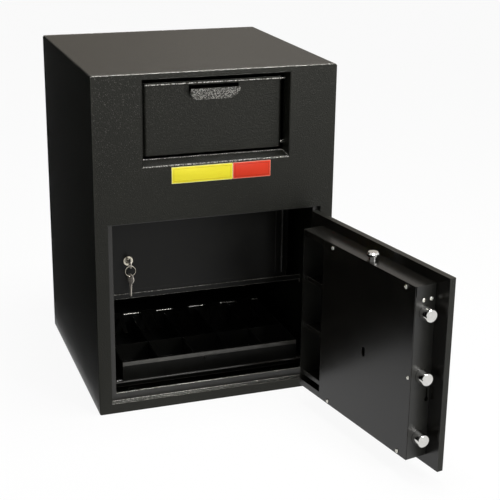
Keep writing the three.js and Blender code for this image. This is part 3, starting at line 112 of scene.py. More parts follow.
camera = put_in_scene("camera", bpy.data.cameras.new("camera"))
camera.data.sensor_width = SENSOR_WIDTH
camera.data.lens = FOCAL_PIXELS / PICTURE_PIXELS * SENSOR_WIDTH
camera.data.shift_y = -CENTRE_DROP_PIXELS / PICTURE_PIXELS
right, up, back = camera_axes(CAMERA_YAW, CAMERA_PITCH, CAMERA_ROLL)
turn = Matrix((right, up, back)).transposed().to_4x4()
camera.matrix_world = Matrix.Translation(CAMERA_PLACE) @ turn
bpy.context.scene.camera = camera
print("lens:", round(camera.data.lens, 1), "mm")

# %% [markdown]
# ## Colours and nodes
#
# A colour is written as it looks on a screen, in hex, and turned into the
# linear light that a shader counts in. One small function adds a node, sets
# it and links it, so a finish reads from top to bottom like a recipe. The
# scale of a pattern says how many of its blobs lie along a metre.
#
# %% Colour and node helpers


def linear(code):
    """sRGB hex to linear light: a short straight part near black, then a power curve."""
    channels = np.array([int(code[i:i + 2], 16) for i in (1, 3, 5)]) / 255
    light = np.where(channels <= 0.04045, channels / 12.92, ((channels + 0.055) / 1.055) ** 2.4)
    return (*light.tolist(), 1.0)


def per_metre(size_mm):
    """How many blobs of a size lie along a metre."""
    return 1 / (size_mm * MM)


def add(tree, kind, inputs=(), stops=(), **settings):
    """Adds a node with its settings by name.

    inputs gives pairs of a socket and its source or value, and stops a ramp's places and colours.
    """
    node = tree.nodes.new(kind)
    for name, value in settings.items():
        socket = node.inputs.get(name.replace("_", " "))
        if socket is not None and not hasattr(node, name):
            socket.default_value = value
        else:
            setattr(node, name, value)
    for socket, source in inputs:
        if isinstance(source, bpy.types.NodeSocket):
            tree.links.new(source, node.inputs[socket])
        else:
            node.inputs[socket].default_value = source
    if stops:
        elements = node.color_ramp.elements
        while len(elements) < len(stops):
            elements.new(0.5)
        for element, (place, code) in zip(elements, stops):
            element.position = place
            element.color = linear(code)
    return node


def new_finish(name, **settings):
    """A node material with its shader's settings, and the place of a point on the object, in metres."""
    material = bpy.data.materials.new(name)
    material.use_nodes = True
    tree = material.node_tree
    tree.nodes.clear()
    shader = add(tree, "ShaderNodeBsdfPrincipled", **settings)
    add(tree, "ShaderNodeOutputMaterial", [("Surface", shader.outputs["BSDF"])])
    place = add(tree, "ShaderNodeTexCoord").outputs["Object"]
    return material, tree, shader, place


def feed(tree, shader, **sources):
    """Links each source to the shader's socket of its name."""
    for name, source in sources.items():
        tree.links.new(source, shader.inputs[name.replace("_", " ")])


print("screen grey #808080 is", round(linear("#808080")[0], 3), "in linear light")

# %% [markdown]
# ## Textured powder coat
#
# The outside of the body is sprayed with a powder that wrinkles as it is baked. It gives the eye a fine
# dark grain. Its small bright specks are a painted glint of the grains, laid into the colour and made
# stronger towards the upper left of the front. A paler coat with paler specks is a painted highlight on
# rounded edges and where fingers pull the hopper open.
#
# %% Textured powder coat
COAT_GRAIN_MM = 2.4  # the real grain is near 1 mm; drawn coarser so that it shows
COAT_RELIEF_MM = 0.9
COAT_CLOUD_MM = 60.0
COAT_GLINT = "#fdfcf2"
SPECK_SPACING_MM = 3.6
SPECK_CORE = 0.6  # the share of a speck's radius that has its full colour
PAINTED_GLINT_WAY = (-0.6, -0.8, 1.0)  # towards the upper left of the front, where the painted glints of the grains are strongest
SPECKS_ALL_OVER = (-9.0, -8.0)


def make_coat(
    name, field, speck, speck_size, roughness, specular, relief_mm,
    spacing_mm=SPECK_SPACING_MM, speck_reach=(0.68, 1.05),
):
    """A grained coat: two field tones in clouds, scattered specks, and the grain's relief.

    A speck lies where the distance to the nearest scattered point is under speck_size spacings. The
    specks are a painted glint, stronger along PAINTED_GLINT_WAY, from the first to the second number of
    speck_reach.
    """
    material, tree, shader, place = new_finish(
        name, Specular_IOR_Level=specular, Specular_Tint=linear(COAT_GLINT),
    )
    grain = add(
        tree, "ShaderNodeTexNoise", [("Vector", place)], Scale=per_metre(COAT_GRAIN_MM), Roughness=0.6,
    ).outputs["Fac"]
    cloud = add(
        tree, "ShaderNodeTexNoise", [("Vector", place)], Scale=per_metre(COAT_CLOUD_MM),
    ).outputs["Fac"]
    scatter = add(
        tree, "ShaderNodeTexVoronoi", [("Vector", place)], Scale=per_metre(spacing_mm),
    ).outputs["Distance"]
    is_painted_glint = add(
        tree, "ShaderNodeValToRGB", [("Fac", scatter)],
        stops=[(SPECK_CORE * speck_size, "#ffffff"), (speck_size, "#000000")],
    ).outputs["Color"]
    way = add(
        tree, "ShaderNodeVectorMath", [(0, place), (1, PAINTED_GLINT_WAY)], operation="DOT_PRODUCT",
    ).outputs["Value"]
    share = add(
        tree, "ShaderNodeMapRange", [("Value", way)], From_Min=speck_reach[0], From_Max=speck_reach[1],
    ).outputs["Result"]
    strength = add(tree, "ShaderNodeMath", [(0, is_painted_glint), (1, share)], operation="MULTIPLY").outputs[0]
    ground = add(
        tree, "ShaderNodeValToRGB", [("Fac", cloud)], stops=[(0.3, field[0]), (0.7, field[1])],
    ).outputs["Color"]
    colour = add(
        tree, "ShaderNodeMix", [("Factor", strength), (6, ground), (7, linear(speck))], data_type="RGBA",
    ).outputs[2]
    rough = add(
        tree, "ShaderNodeMapRange",
        [("Value", grain), ("To Min", roughness[0]), ("To Max", roughness[1])],
    ).outputs["Result"]
    relief = add(tree, "ShaderNodeBump", [("Height", grain)], Strength=1.0, Distance=relief_mm * MM)
    feed(tree, shader, Base_Color=colour, Roughness=rough, Normal=relief.outputs["Normal"])
    return material


finishes = {
    # The plain coat, whose pale specks are a painted glint.
    "textured_coat": make_coat(
        "textured_black_powder_coat", ("#0c0d0a", "#10110d"), "#6b6964", 0.21,
        (0.24, 0.4), 0.3, COAT_RELIEF_MM,
    ),
    # The hopper's flap and the welds: a paler coat with paler specks, a painted highlight.
    "coat_with_painted_highlight": make_coat(
        "black_powder_coat_with_painted_highlight", ("#2b2a27", "#3c3b38"), "#c9c7c1", 0.5,
        (0.28, 0.42), 0.5, 1.4 * COAT_RELIEF_MM, spacing_mm=2.6, speck_reach=SPECKS_ALL_OVER,
    ),
    # Rounds that face up and forward: a paler coat with bright specks, a painted highlight.
    "coat_edge_highlight": make_coat(
        "powder_coat_with_painted_edge_highlight", ("#4b4945", "#57554f"), "#f4f2ec", 0.64,
        (0.14, 0.24), 0.7, COAT_RELIEF_MM, spacing_mm=3.1, speck_reach=(0.1, 0.8),
    ),
}
print("coats:", ", ".join(finishes))

# %% [markdown]
# ## Patches and a relief
#
# Paint, plating and moulded plastic differ in their numbers more than in their
# kind. Each has two near tones and two near roughnesses in soft patches, which
# keep a large face from looking computed, and the relief of a finer grain.
#
# %% Patches and a relief


def make_patchy(name, tones, roughness, patch, grain, relief_mm, strength, **settings):
    """One noise mixes the two tones and roughnesses, and another raises the surface by relief_mm.

    patch and grain each give the size of a blob in millimetres and the noise's detail.
    """
    material, tree, shader, place = new_finish(name, **settings)
    soft, fine = (
        add(
            tree, "ShaderNodeTexNoise", [("Vector", place)], Scale=per_metre(size_mm), Detail=detail,
        ).outputs["Fac"]
        for size_mm, detail in (patch, grain)
    )
    colour = add(
        tree, "ShaderNodeValToRGB", [("Fac", soft)], stops=[(0.3, tones[0]), (0.7, tones[1])],
    ).outputs["Color"]
    rough = add(
        tree, "ShaderNodeMapRange",
        [("Value", soft), ("To Min", roughness[0]), ("To Max", roughness[1])],
    ).outputs["Result"]
    relief = add(tree, "ShaderNodeBump", [("Height", fine)], Strength=strength, Distance=relief_mm * MM)
    feed(tree, shader, Base_Color=colour, Roughness=rough, Normal=relief.outputs["Normal"])
    return material


print("a 2 mm grain has", per_metre(2.0), "blobs along a metre")

# %% [markdown]
# ## Semi-gloss black enamel
#
# Inside, and on the back of the door, the sheet steel has a smooth sprayed
# enamel. It is nearly mirror-like at a low angle, with the faint waves that
# sprayers call orange peel, and it looks slightly brown where light falls on
# it.
#
# %% Semi-gloss enamel
PEEL_MM = 5.0
PEEL_RELIEF_MM = 0.06
SMUDGE_MM = 45.0


def make_enamel(name, dark, light, rough_low, rough_high, specular):
    """A smooth coat: tones and roughnesses in smudges, and the waves of orange peel."""
    return make_patchy(
        name, (dark, light), (rough_low, rough_high), (SMUDGE_MM, 3.0), (PEEL_MM, 1.0),
        PEEL_RELIEF_MM, 0.35, Specular_IOR_Level=specular,
    )


enamels = {
    "smooth_paint": make_enamel("semi_gloss_black_enamel", "#0b0a08", "#100f0c", 0.2, 0.28, 0.36),
    "locker_paint": make_enamel("satin_black_enamel", "#0a0a08", "#0f0f0c", 0.28, 0.38, 0.2),
    # The landing's front faces: a lighter enamel.
    "landing_paint": make_enamel("lighter_enamel_on_the_landing", "#23221f", "#2b2a27", 0.3, 0.4, 0.5),
    # The bolt box's free side: a lighter enamel, a painted sheen.
    "box_side_paint": make_enamel("bolt_box_enamel_with_painted_sheen", "#151512", "#1b1b17", 0.3, 0.4, 0.6),
    # Rounds of the enamelled parts: a paler enamel, a painted highlight.
    "paint_edge_highlight": make_enamel("enamel_with_painted_edge_highlight", "#34322f", "#44423e", 0.1, 0.18, 0.8),
}
finishes.update(enamels)
print("enamels:", ", ".join(enamels))

# %% [markdown]
# ## Metals
#
# The bolts are chromed and polished. The screws, bar and pins are zinc plated,
# which is duller and slightly patchy. The keys and the lock face are nickel
# plated brass, a little warmer. All are metals, so they keep the default IOR
# and differ in colour and roughness. The keys' plating is worn, and its dull
# film counts as less than a full metal.
#
# %% Metals


def make_metal(name, light, dark, rough_low, rough_high, patch_mm, grain_mm, relief_mm, metallic=1.0):
    """A plated metal: tones and roughnesses in patches, and a fine relief."""
    return make_patchy(
        name, (dark, light), (rough_low, rough_high), (patch_mm, 3.0), (grain_mm, 1.0),
        relief_mm, 0.4, Metallic=metallic,
    )


metals = {
    "chromed_steel": make_metal("chromed_steel", "#d6d5d2", "#c9c8c4", 0.08, 0.16, 14.0, 1.5, 0.01),
    "zinc_steel": make_metal("zinc_plated_steel", "#e6e4dd", "#cfcdc4", 0.2, 0.34, 9.0, 1.2, 0.03),
    "nickel_plate": make_metal("nickel_plated_brass", "#d8d2c3", "#bdb6a5", 0.16, 0.3, 6.0, 0.8, 0.02),
    "worn_nickel": make_metal("worn_nickel_plate", "#f0e9df", "#d9d0c4", 0.42, 0.6, 3.0, 0.8, 0.05, 0.4),
}
finishes.update(metals)
print("metals:", ", ".join(metals))

# %% [markdown]
# ## Plastics and castings
#
# The till is moulded in black polystyrene with a light grain. The dial is a
# harder, glossier black plastic. The lock case is a grey die casting, which is
# made here in the same way, with most of a metal's reflection.
#
# %% Plastics and the lock casting
DRIFT_MM = 30.0


def make_plastic(name, light, dark, rough_low, rough_high, grain_mm, relief_mm, **settings):
    """A moulded plastic: an even colour with a small drift, and a moulded grain."""
    return make_patchy(
        name, (dark, light), (rough_low, rough_high), (DRIFT_MM, 2.0), (grain_mm, 2.0),
        relief_mm, 0.5, **settings,
    )


mouldings = {
    "tray_plastic": make_plastic(
        "black_polystyrene", "#1a1a18", "#151513", 0.26, 0.38, 1.4, 0.05, Specular_IOR_Level=0.12,
    ),
    # Upward rounds of the till and its lip: a paler grey, a painted highlight.
    "tray_edge_highlight": make_plastic("polystyrene_with_painted_edge_highlight", "#5c5a55", "#4a4945", 0.2, 0.3, 1.4, 0.05),
    "dial_plastic": make_plastic(
        "glossy_black_dial_plastic", "#0f0f10", "#0b0b0c", 0.12, 0.2, 1.0, 0.01,
    ),
    "lock_casting": make_plastic(
        "grey_zinc_die_casting", "#8d8c87", "#75746f", 0.4, 0.55, 0.9, 0.04, Metallic=0.8,
    ),
}
finishes.update(mouldings)
print("mouldings:", ", ".join(mouldings))

# %% [markdown]
# ## Which finish goes where
#
# The frame gives each part a slot, such as painted or plated. Most finishes have a paler partner for
# their rounds, a painted highlight along the edges. On the coat and the till this painted highlight is
# kept to rounds that face up and forward, towards the lamps above the front.
#
# %% Finish of each part


def finish_of(name):
    """The pieces inside the body have a duller enamel than the pieces on the door."""
    inside = slot_of_node[name] == "smooth_paint" and body_of_node[name] != "door"
    return "locker_paint" if inside else slot_of_node[name]


# The paler finish for each finish's rounds, a painted highlight along the edges.
EDGE_FINISH = {
    "textured_coat": "coat_edge_highlight", "smooth_paint": "paint_edge_highlight", "locker_paint": "paint_edge_highlight",
    "tray_plastic": "tray_edge_highlight", "locker_floor": "coat_edge_highlight",
}
EDGE_UPWARD = 0.2
EDGE_HIGHLIGHT_UP_TO = {"hopper_surround": 0.6}  # its sill has the painted edge highlight and its header doesn't
print("inner door:", finish_of("inner_door"), " door plate:", finish_of("door_plate"))

# %% [markdown]
# ## Rounded sheet metal
#
# No edge of folded or ground steel is sharp. Each part's shape is copied, its loose triangles are joined
# into one skin, and its edges are given a small round. That round catches a thin line of light, and it
# also carries a paler finish, a painted highlight.
#
# %% Rounded copies of the frame's parts
ROUNDED_LOW_ANGLE = math.radians(28)
FLAT_ANGLE = math.radians(0.5)
SMOOTH_ANGLE = math.radians(40)
MERGE_DISTANCE = 1e-6


def keep_faces_flat(piece):
    """Large faces keep their own direction of light, and only the small rounds between them blend."""
    weight = piece.modifiers.new("flat_faces", "WEIGHTED_NORMAL")
    weight.mode = "FACE_AREA"
    weight.weight = 100
    weight.keep_sharp = True


def rounded_copy(name, radius_mm, segments=2):
    """A copy of a part's skin with merged corners and rounded edges, in the part's own place."""
    source = nodes[name]
    mesh = source.data.copy()
    mesh.materials.clear()
    shape = bmesh.new()
    shape.from_mesh(mesh)
    bmesh.ops.remove_doubles(shape, verts=shape.verts, dist=MERGE_DISTANCE)
    bmesh.ops.dissolve_limit(
        shape, angle_limit=FLAT_ANGLE, verts=shape.verts, edges=shape.edges, delimit={"NORMAL"},
    )
    sharp = [e for e in shape.edges if e.is_manifold and e.calc_face_angle(0) > ROUNDED_LOW_ANGLE]
    bmesh.ops.bevel(
        shape, geom=sharp, offset=radius_mm * MM, offset_type="OFFSET", segments=segments,
        profile=0.5, affect="EDGES", clamp_overlap=True, material=1,
    )
    shape.normal_update()
    # On the coat and the till, the painted edge highlight is kept to rounds that face up and forward,
    # and on the hopper's recess to its sill.
    if finish_of(name) in ("textured_coat", "tray_plastic"):
        top = EDGE_HIGHLIGHT_UP_TO.get(name, 1.0)
        for face in shape.faces:
            upward = face.normal.z > EDGE_UPWARD > face.normal.y
            face.material_index *= int(upward and face.calc_center_median().z < top)
    shape.to_mesh(mesh)
    shape.free()
    mesh.materials.append(finishes[finish_of(name)])
    edge_finish = EDGE_FINISH.get(name, EDGE_FINISH.get(finish_of(name), finish_of(name)))
    mesh.materials.append(finishes[edge_finish])
    mesh.shade_smooth()
    piece = put_in_scene(name + "_finished", mesh)
    mesh.set_sharp_from_angle(angle=SMOOTH_ANGLE)
    keep_faces_flat(piece)
    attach(piece, body_of_node[name])
    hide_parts(name)
    return piece


def paint_faces(piece, finish, chosen):
    """Gives another finish to the faces whose outward direction passes a test."""
    mesh = piece.data
    directions = np.empty(3 * len(mesh.polygons))
    mesh.polygons.foreach_get("normal", directions)
    indices = np.empty(len(mesh.polygons), np.int32)
    mesh.polygons.foreach_get("material_index", indices)
    indices[chosen(directions.reshape(-1, 3)) & (indices == 0)] = len(mesh.materials)
    mesh.materials.append(finish)
    mesh.polygons.foreach_set("material_index", indices)
    print(piece.name, "has", len(mesh.materials), "finishes")


print("edges that turn by more than", round(math.degrees(ROUNDED_LOW_ANGLE)), "degrees are rounded")

# %% [markdown]
# ## A round for each part
#
# Thick or coated sheet has a wide round, and a small fitting hardly any. Each part first gets its
# finish, and then a rounded copy takes its place, unless the part is made anew further on. The flap of
# the hopper's face gets a paler coat, a painted highlight, and the front faces of the strip of frame
# that the door lands on get a lighter enamel.
#
# %% Rounding and dressing the parts
EDGE_ROUND_MM = {
    "body_shell": 1.6,
    "front_panel": 2.2,
    "back_panel": 1.6,
    "door_frame": 1.2,
    "door_plate": 1.2,
    "hopper_surround": 1.6,
    "till_tray": 0.9,
    "inner_door": 0.8,
    "locker_floor": 1.6,
    "till_shelf": 1.2,
    "top_bolt": 0.8,
}
SMALL_ROUND_MM = 0.35
REMADE = (
    "lower_bolt", "middle_bolt", "upper_bolt", "key_in_lock", "spare_key", "key_ring",
    "handle", "dial", "dial_ring",
)
rounded = {}
for name in nodes:
    nodes[name].data.materials.clear()
    nodes[name].data.materials.append(finishes[finish_of(name)])
    if name not in REMADE and "screw" not in name:
        rounded[name] = rounded_copy(name, EDGE_ROUND_MM.get(name, SMALL_ROUND_MM))
        print(rounded[name].name, len(rounded[name].data.polygons), "faces")

FLAP_LEAN = math.radians(31)
SQUARE_ON = 0.98
FACING = 0.9
flap_direction = np.array([0, -math.cos(FLAP_LEAN), -math.sin(FLAP_LEAN)])
# The faces of the hopper's flap get the paler coat, a painted highlight.
paint_faces(
    rounded["hopper_face"], finishes["coat_with_painted_highlight"], lambda out: out @ flap_direction > SQUARE_ON,
)
# The front faces of the landing get a lighter enamel.
paint_faces(rounded["door_frame"], finishes["landing_paint"], lambda out: out[:, 1] < -FACING)

# %% [markdown]
# ## Surfaces from numbers
#
# The finer pieces are worked out as grids of points. A turned piece is a
# profile carried round an axis, as on a lathe. A sharp corner of a profile is
# first softened by a short curve, because a real tool leaves one. All these
# sizes are in millimetres.
#
# %% Grids and turned shapes


def quads(rows, columns, close_rows=False, close_columns=False):
    """The faces of a grid of points, whose last row or column may join the first."""
    row, column = np.meshgrid(
        np.arange(rows if close_rows else rows - 1),
        np.arange(columns if close_columns else columns - 1), indexing="ij",
    )
    next_row, next_column = (row + 1) % rows, (column + 1) % columns
    corners = [
        row * columns + column, row * columns + next_column,
        next_row * columns + next_column, next_row * columns + column,
    ]
    return np.stack(corners, -1).reshape(-1, 4)


def points_of(mesh):
    """A mesh's corners as an array of rows (x, y, z)."""
    points = np.empty(3 * len(mesh.vertices))
    mesh.vertices.foreach_get("co", points)
    return points.reshape(-1, 3)


def in_mm(corners):
    """Corners in metres as arrays in millimetres."""
    return [np.array(corner) / MM for corner in corners]


SOFTEN_LIMIT = 0.45  # the share of a side that one softened corner may take


def soften(points, radius, steps=5):
    """Each inner corner gives way to a quadratic curve that starts and ends a radius away from it."""
    points = np.asarray(points, float)
    corner = points[1:-1, None]
    t = np.linspace(0, 1, steps)[None, :, None]
    ends = []
    for other in (points[:-2, None], points[2:, None]):
        way = other - corner
        length = np.linalg.norm(way, axis=-1, keepdims=True)
        ends.append(corner + way * np.minimum(radius / length, SOFTEN_LIMIT))
    curve = (1 - t) ** 2 * ends[0] + 2 * t * (1 - t) * corner + t ** 2 * ends[1]
    return np.concatenate([points[:1], curve.reshape(-1, points.shape[1]), points[-1:]])


def turned(profile, place, axis, steps=48, ripple=None, sink=None):
    """place + distance * axis + radius * ring(angle), for each (radius, distance) of the profile.

    ripple multiplies the radius and sink lowers the distance, each by an array of rows by angles.
    """
    profile, axis = np.asarray(profile, float), np.asarray(axis, float)
    side = np.cross(axis, (1.0, 0.0, 0.0) if abs(axis[2]) > 0.9 else (0.0, 0.0, 1.0))
    other = np.cross(axis, side)
    angle = np.linspace(0, 2 * np.pi, steps, endpoint=False)
    ring = np.cos(angle)[:, None] * side + np.sin(angle)[:, None] * other
    radius = profile[:, :1] * (1 if ripple is None else ripple) * np.ones(steps)
    distance = profile[:, 1:] * np.ones(steps) - (0 if sink is None else sink)
    points = np.asarray(place) + distance[..., None] * axis + radius[..., None] * ring
    return points.reshape(-1, 3), quads(len(profile), steps, close_columns=True)


tube_points, tube_faces = turned([(1, 0), (1, 2)], (0, 0, 0), (0, 0, 1), steps=6)
print("a six-sided tube has", len(tube_points), "points and", len(tube_faces), "faces")

# %% [markdown]
# ## From surfaces to a piece
#
# A piece is one skin with its faces outward, in metres, that rides on a body.
# Where it stands in for a part of the frame it says so, and the frame's own
# plain part is then not shown.
#
# %% Joining surfaces into a piece


def add_piece(name, surfaces, material, body, stands_for=()):
    """Joins surfaces in millimetres into one closed skin, faces outward, that rides on a body."""
    mesh = bpy.data.meshes.new(name)
    vertices, faces, count = [], [], 0
    for points, corners in surfaces:
        vertices.append(np.asarray(points) * MM)
        faces += [[int(index) + count for index in corner] for corner in corners]
        count += len(points)
    mesh.from_pydata(np.concatenate(vertices).tolist(), [], faces)
    shape = bmesh.new()
    shape.from_mesh(mesh)
    bmesh.ops.remove_doubles(shape, verts=shape.verts, dist=MERGE_DISTANCE)
    bmesh.ops.recalc_face_normals(shape, faces=shape.faces)
    shape.to_mesh(mesh)
    shape.free()
    mesh.materials.append(material)
    mesh.shade_smooth()
    mesh.set_sharp_from_angle(angle=SMOOTH_ANGLE)
    piece = put_in_scene(name, mesh)
    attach(piece, body)
    if stands_for:
        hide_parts(*stands_for)
    print(name, len(mesh.polygons), "faces")
    return piece


print("bodies that a piece can ride on:", ", ".join(sorted(set(body_of_node.values()))))

# %% [markdown]
# ## Working on the door
#
# The frame holds the door open. A round bolt is easier to describe with the
# door shut, where it points along X, so each door piece is worked out shut and
# then turned about the hinge by the angle at which the door stands open.
#
# %% The door's own frame
hinge = next(joint for joint in frame["joints"] if joint["name"] == "main_door")
HINGE_PLACE = np.array(hinge["pos_m"]) / MM
DOOR_OPEN = -math.radians(hinge["range_deg"][0])


def turn_about_hinge(points, angle):
    """Turns x and y about the hinge's upright axis, and leaves z."""
    cosine, sine = math.cos(angle), math.sin(angle)
    turn_matrix = np.array([[cosine, -sine, 0], [sine, cosine, 0], [0, 0, 1]])
    return (points - HINGE_PLACE) @ turn_matrix.T + HINGE_PLACE


def opened(surface):
    """A surface that was worked out with the door shut, in its place on the open door."""
    points, faces = surface
    return turn_about_hinge(points, DOOR_OPEN), faces


def shut_box(name):
    """The lowest and highest corners of a door part when the door is shut."""
    shut = turn_about_hinge(points_of(nodes[name].data) / MM, -DOOR_OPEN)
    return shut.min(0), shut.max(0)


def door_outer_face():
    """Where the door plate's outer face lies with the door shut."""
    return shut_box("door_plate")[0][1]


ASIDE = 0.7
door_inward = np.array([-math.sin(DOOR_OPEN), math.cos(DOOR_OPEN), 0])
paint_faces(rounded["door_plate"], finishes["textured_coat"], lambda out: out @ door_inward < ASIDE)
# The bolt box's free side gets a lighter enamel, a painted sheen.
free_side = np.array([-math.cos(DOOR_OPEN), -math.sin(DOOR_OPEN), 0])
paint_faces(rounded["bolt_box"], finishes["box_side_paint"], lambda out: out @ free_side > FACING)
print("door stands open by", round(math.degrees(DOOR_OPEN), 1), "degrees")

# %% [markdown]
# ## Locking bolts
#
# Three solid round bars slide out of the door's free side. Each was turned
# from bar, its end faced flat, its rim rounded over so that it finds its hole,
# and then it was chromed. The flat end reads as a grey disc and the rim as a
# white ring.
#
# %% Locking bolts
BOLT_RIM = 2.2
BOLT_FACE_DISH = 0.2
BOLT_DISH_EDGE = 0.8
BOLT_BACK_CHAMFER = 1.0


def make_bolt(name):
    """A profile of a flat end, a rounded rim and a straight side, turned about the bolt's axis."""
    low, high = shut_box(name)
    radius = (high[2] - low[2]) / 2
    length = high[0] - low[0]
    face = length - BOLT_FACE_DISH
    rim = np.linspace(0, np.pi / 2, 7)
    profile = np.concatenate([
        [(0, face), (radius - BOLT_RIM - BOLT_DISH_EDGE, face)],
        np.stack([radius - BOLT_RIM * (1 - np.sin(rim)), length - BOLT_RIM * (1 - np.cos(rim))], 1),
        [(radius, BOLT_BACK_CHAMFER), (radius - BOLT_BACK_CHAMFER, 0), (0, 0)],
    ])
    place = (high[0], (low[1] + high[1]) / 2, (low[2] + high[2]) / 2)
    bolt = opened(turned(profile, place, (-1, 0, 0), steps=64))
    return add_piece(
        name + "_turned", [bolt], finishes["chromed_steel"], "bolt_work", (name,),
    )


for name in ("lower_bolt", "middle_bolt", "upper_bolt"):
    make_bolt(name)

# %% [markdown]
# ## Screws
#
# The back cover and the bolt box are held by zinc plated pan head screws with a
# cross recess. A head is a low dome, and the cross is where the distance to
# either arm's middle line is small.
#
# %% Pan head screws
SCREW_HEAD_HEIGHT = 2.3
SCREW_SHANK_RADIUS = 1.9
CROSS_HALF_WIDTH = 0.55
CROSS_REACH = 0.62
CROSS_DEPTH = 1.1
CROSS_SLOPE = 0.25
DOME_FALL = 0.8


def make_screw(name, axis, steps=48):
    """Dome height is the head's times sqrt(1 - DOME_FALL r^2), with the cross sunk by CROSS_DEPTH."""
    low, high = shut_box(name)
    axis = np.asarray(axis, float)
    along = int(np.argmax(np.abs(axis)))
    place = (low + high) / 2
    place[along] = (high if axis[along] > 0 else low)[along] - axis[along] * SCREW_HEAD_HEIGHT
    radius = (high[2] - low[2]) / 2
    shank = high[along] - low[along] - SCREW_HEAD_HEIGHT
    share = np.linspace(0, 1, 14)
    dome = np.stack([radius * share, SCREW_HEAD_HEIGHT * np.sqrt(1 - DOME_FALL * share ** 2)], 1)
    profile = np.concatenate([
        dome,
        [(radius, 0.0), (SCREW_SHANK_RADIUS, 0.0), (SCREW_SHANK_RADIUS, -shank), (0.0, -shank)],
    ])
    angle = np.linspace(0, 2 * np.pi, steps, endpoint=False)
    reach = profile[:, :1] * np.ones(steps)
    arm = np.minimum(np.abs(reach * np.cos(angle)), np.abs(reach * np.sin(angle)))
    in_cross = np.clip((CROSS_HALF_WIDTH - arm) / CROSS_SLOPE, 0, 1) * (reach < CROSS_REACH * radius)
    in_cross[len(dome):] = 0
    head = turned(profile, place, axis, steps, sink=CROSS_DEPTH * in_cross)
    return add_piece(
        name + "_pan_head", [opened(head)], finishes["zinc_steel"], "door", (name,),
    )


for name in nodes:
    if name.startswith("cover_screw"):
        make_screw(name, (0, 1, 0))
    elif name.startswith("side_screw"):
        make_screw(name, (-1, 0, 0))

# %% [markdown]
# ## Flat pieces cut from sheet
#
# A key is a blank punched from sheet, with a hole and cut teeth. Its outline is
# worked out as points, filled by a flat curve, and given a thickness with a
# small bevel. The curve becomes a mesh before it is put in place.
#
# %% Pieces cut from sheet


def skin_of(kind, curve):
    """The points and faces of a curve, which is taken away afterwards."""
    maker = bpy.data.objects.new(kind, curve)
    mesh = bpy.data.meshes.new_from_object(maker)
    points = points_of(mesh)
    faces = [tuple(face.vertices) for face in mesh.polygons]
    bpy.data.objects.remove(maker)
    bpy.data.curves.remove(curve)
    bpy.data.meshes.remove(mesh)
    return points, faces


def cut_sheet(outlines, thickness, bevel, place, across, along):
    """Outline points (a, b) become place + a * across + b * along, with half the sheet on each side."""
    curve = bpy.data.curves.new("outline", "CURVE")
    curve.dimensions = "2D"
    curve.fill_mode = "BOTH"
    curve.extrude = thickness / 2 - bevel
    curve.bevel_depth = bevel
    curve.bevel_resolution = 1
    curve.offset = -bevel
    for outline in outlines:
        spline = curve.splines.new("POLY")
        spline.points.add(len(outline) - 1)
        flat = np.concatenate([outline, np.zeros((len(outline), 1)), np.ones((len(outline), 1))], 1)
        spline.points.foreach_set("co", flat.ravel())
        spline.use_cyclic_u = True
    points, faces = skin_of("outline", curve)
    across, along = np.asarray(across, float), np.asarray(along, float)
    axes = np.stack([across, along, np.cross(across, along)])
    return np.asarray(place) + points @ axes, faces


def circle(centre, radius, steps=32):
    """Points at equal angles round a centre."""
    angle = np.linspace(0, 2 * np.pi, steps, endpoint=False)
    return np.stack([centre[0] + radius * np.cos(angle), centre[1] + radius * np.sin(angle)], 1)


def rounded_outline(x0, x1, z0, z1, radius, steps=6):
    """A rectangle's outline with quarter-circle corners, as an array of points in order."""
    angles = np.linspace(0, np.pi / 2, steps)
    corners = [(x1, z1, 0), (x0, z1, 1), (x0, z0, 2), (x1, z0, 3)]
    points = []
    for x, z, quarter in corners:
        cx = x - radius if x == x1 else x + radius
        cz = z - radius if z == z1 else z + radius
        turn_angle = angles + quarter * np.pi / 2
        points.append(np.stack([cx + radius * np.cos(turn_angle), cz + radius * np.sin(turn_angle)], 1))
    return np.concatenate(points)


print("a hole's outline has", len(circle((0, 0), 1)), "points")

# %% [markdown]
# ## Keys
#
# One key is in the inner door's lock and its twin hangs from a split ring. The
# bow is round, the blade has cuts of different depths along one edge and a
# pointed tip.
#
# %% Keys
KEY_SHEET = 2.2
KEY_BOW = 11.0
KEY_HOLE = 3.0
KEY_HOLE_OUT = 5.0
KEY_BLADE_HALF = 3.6
KEY_CUT_SPACING = 3.6
KEY_CUT_DEPTH = 2.4
KEY_CUT_LEAST = 0.45
KEY_CUT_BEAT = 2.1
KEY_TIP = 3.5
KEY_NECK = 5.0
KEY_BEVEL = 0.3
KEY_TURN = math.atan2(0.8, 0.6)
KEY_TWIST = math.radians(24)


def key_outline(reach, hole_turn):
    """The bow's circle, a straight edge, a tip, and a toothed edge whose cuts are a product of sines."""
    meet = math.asin(KEY_BLADE_HALF / KEY_BOW)
    bow_angle = np.linspace(meet, 2 * np.pi - meet, 40)
    bow = np.stack([KEY_BOW * np.sin(bow_angle), KEY_BOW * np.cos(bow_angle)], 1)
    s = np.linspace(KEY_BOW + KEY_NECK, reach - KEY_TIP, 60)
    phase = (s - s[0]) / KEY_CUT_SPACING
    cut_share = KEY_CUT_LEAST + (1 - KEY_CUT_LEAST) * np.sin(KEY_CUT_BEAT * phase) ** 2
    depth = KEY_CUT_DEPTH * np.abs(np.sin(np.pi * phase)) * cut_share
    teeth = np.stack([-KEY_BLADE_HALF + depth, s], 1)
    tip = np.array([(0.0, reach), (KEY_BLADE_HALF, reach - KEY_TIP)])
    outline = np.concatenate([bow, teeth, tip])
    hole = circle((-KEY_HOLE_OUT * math.sin(hole_turn), -KEY_HOLE_OUT * math.cos(hole_turn)), KEY_HOLE)
    return [outline, hole]


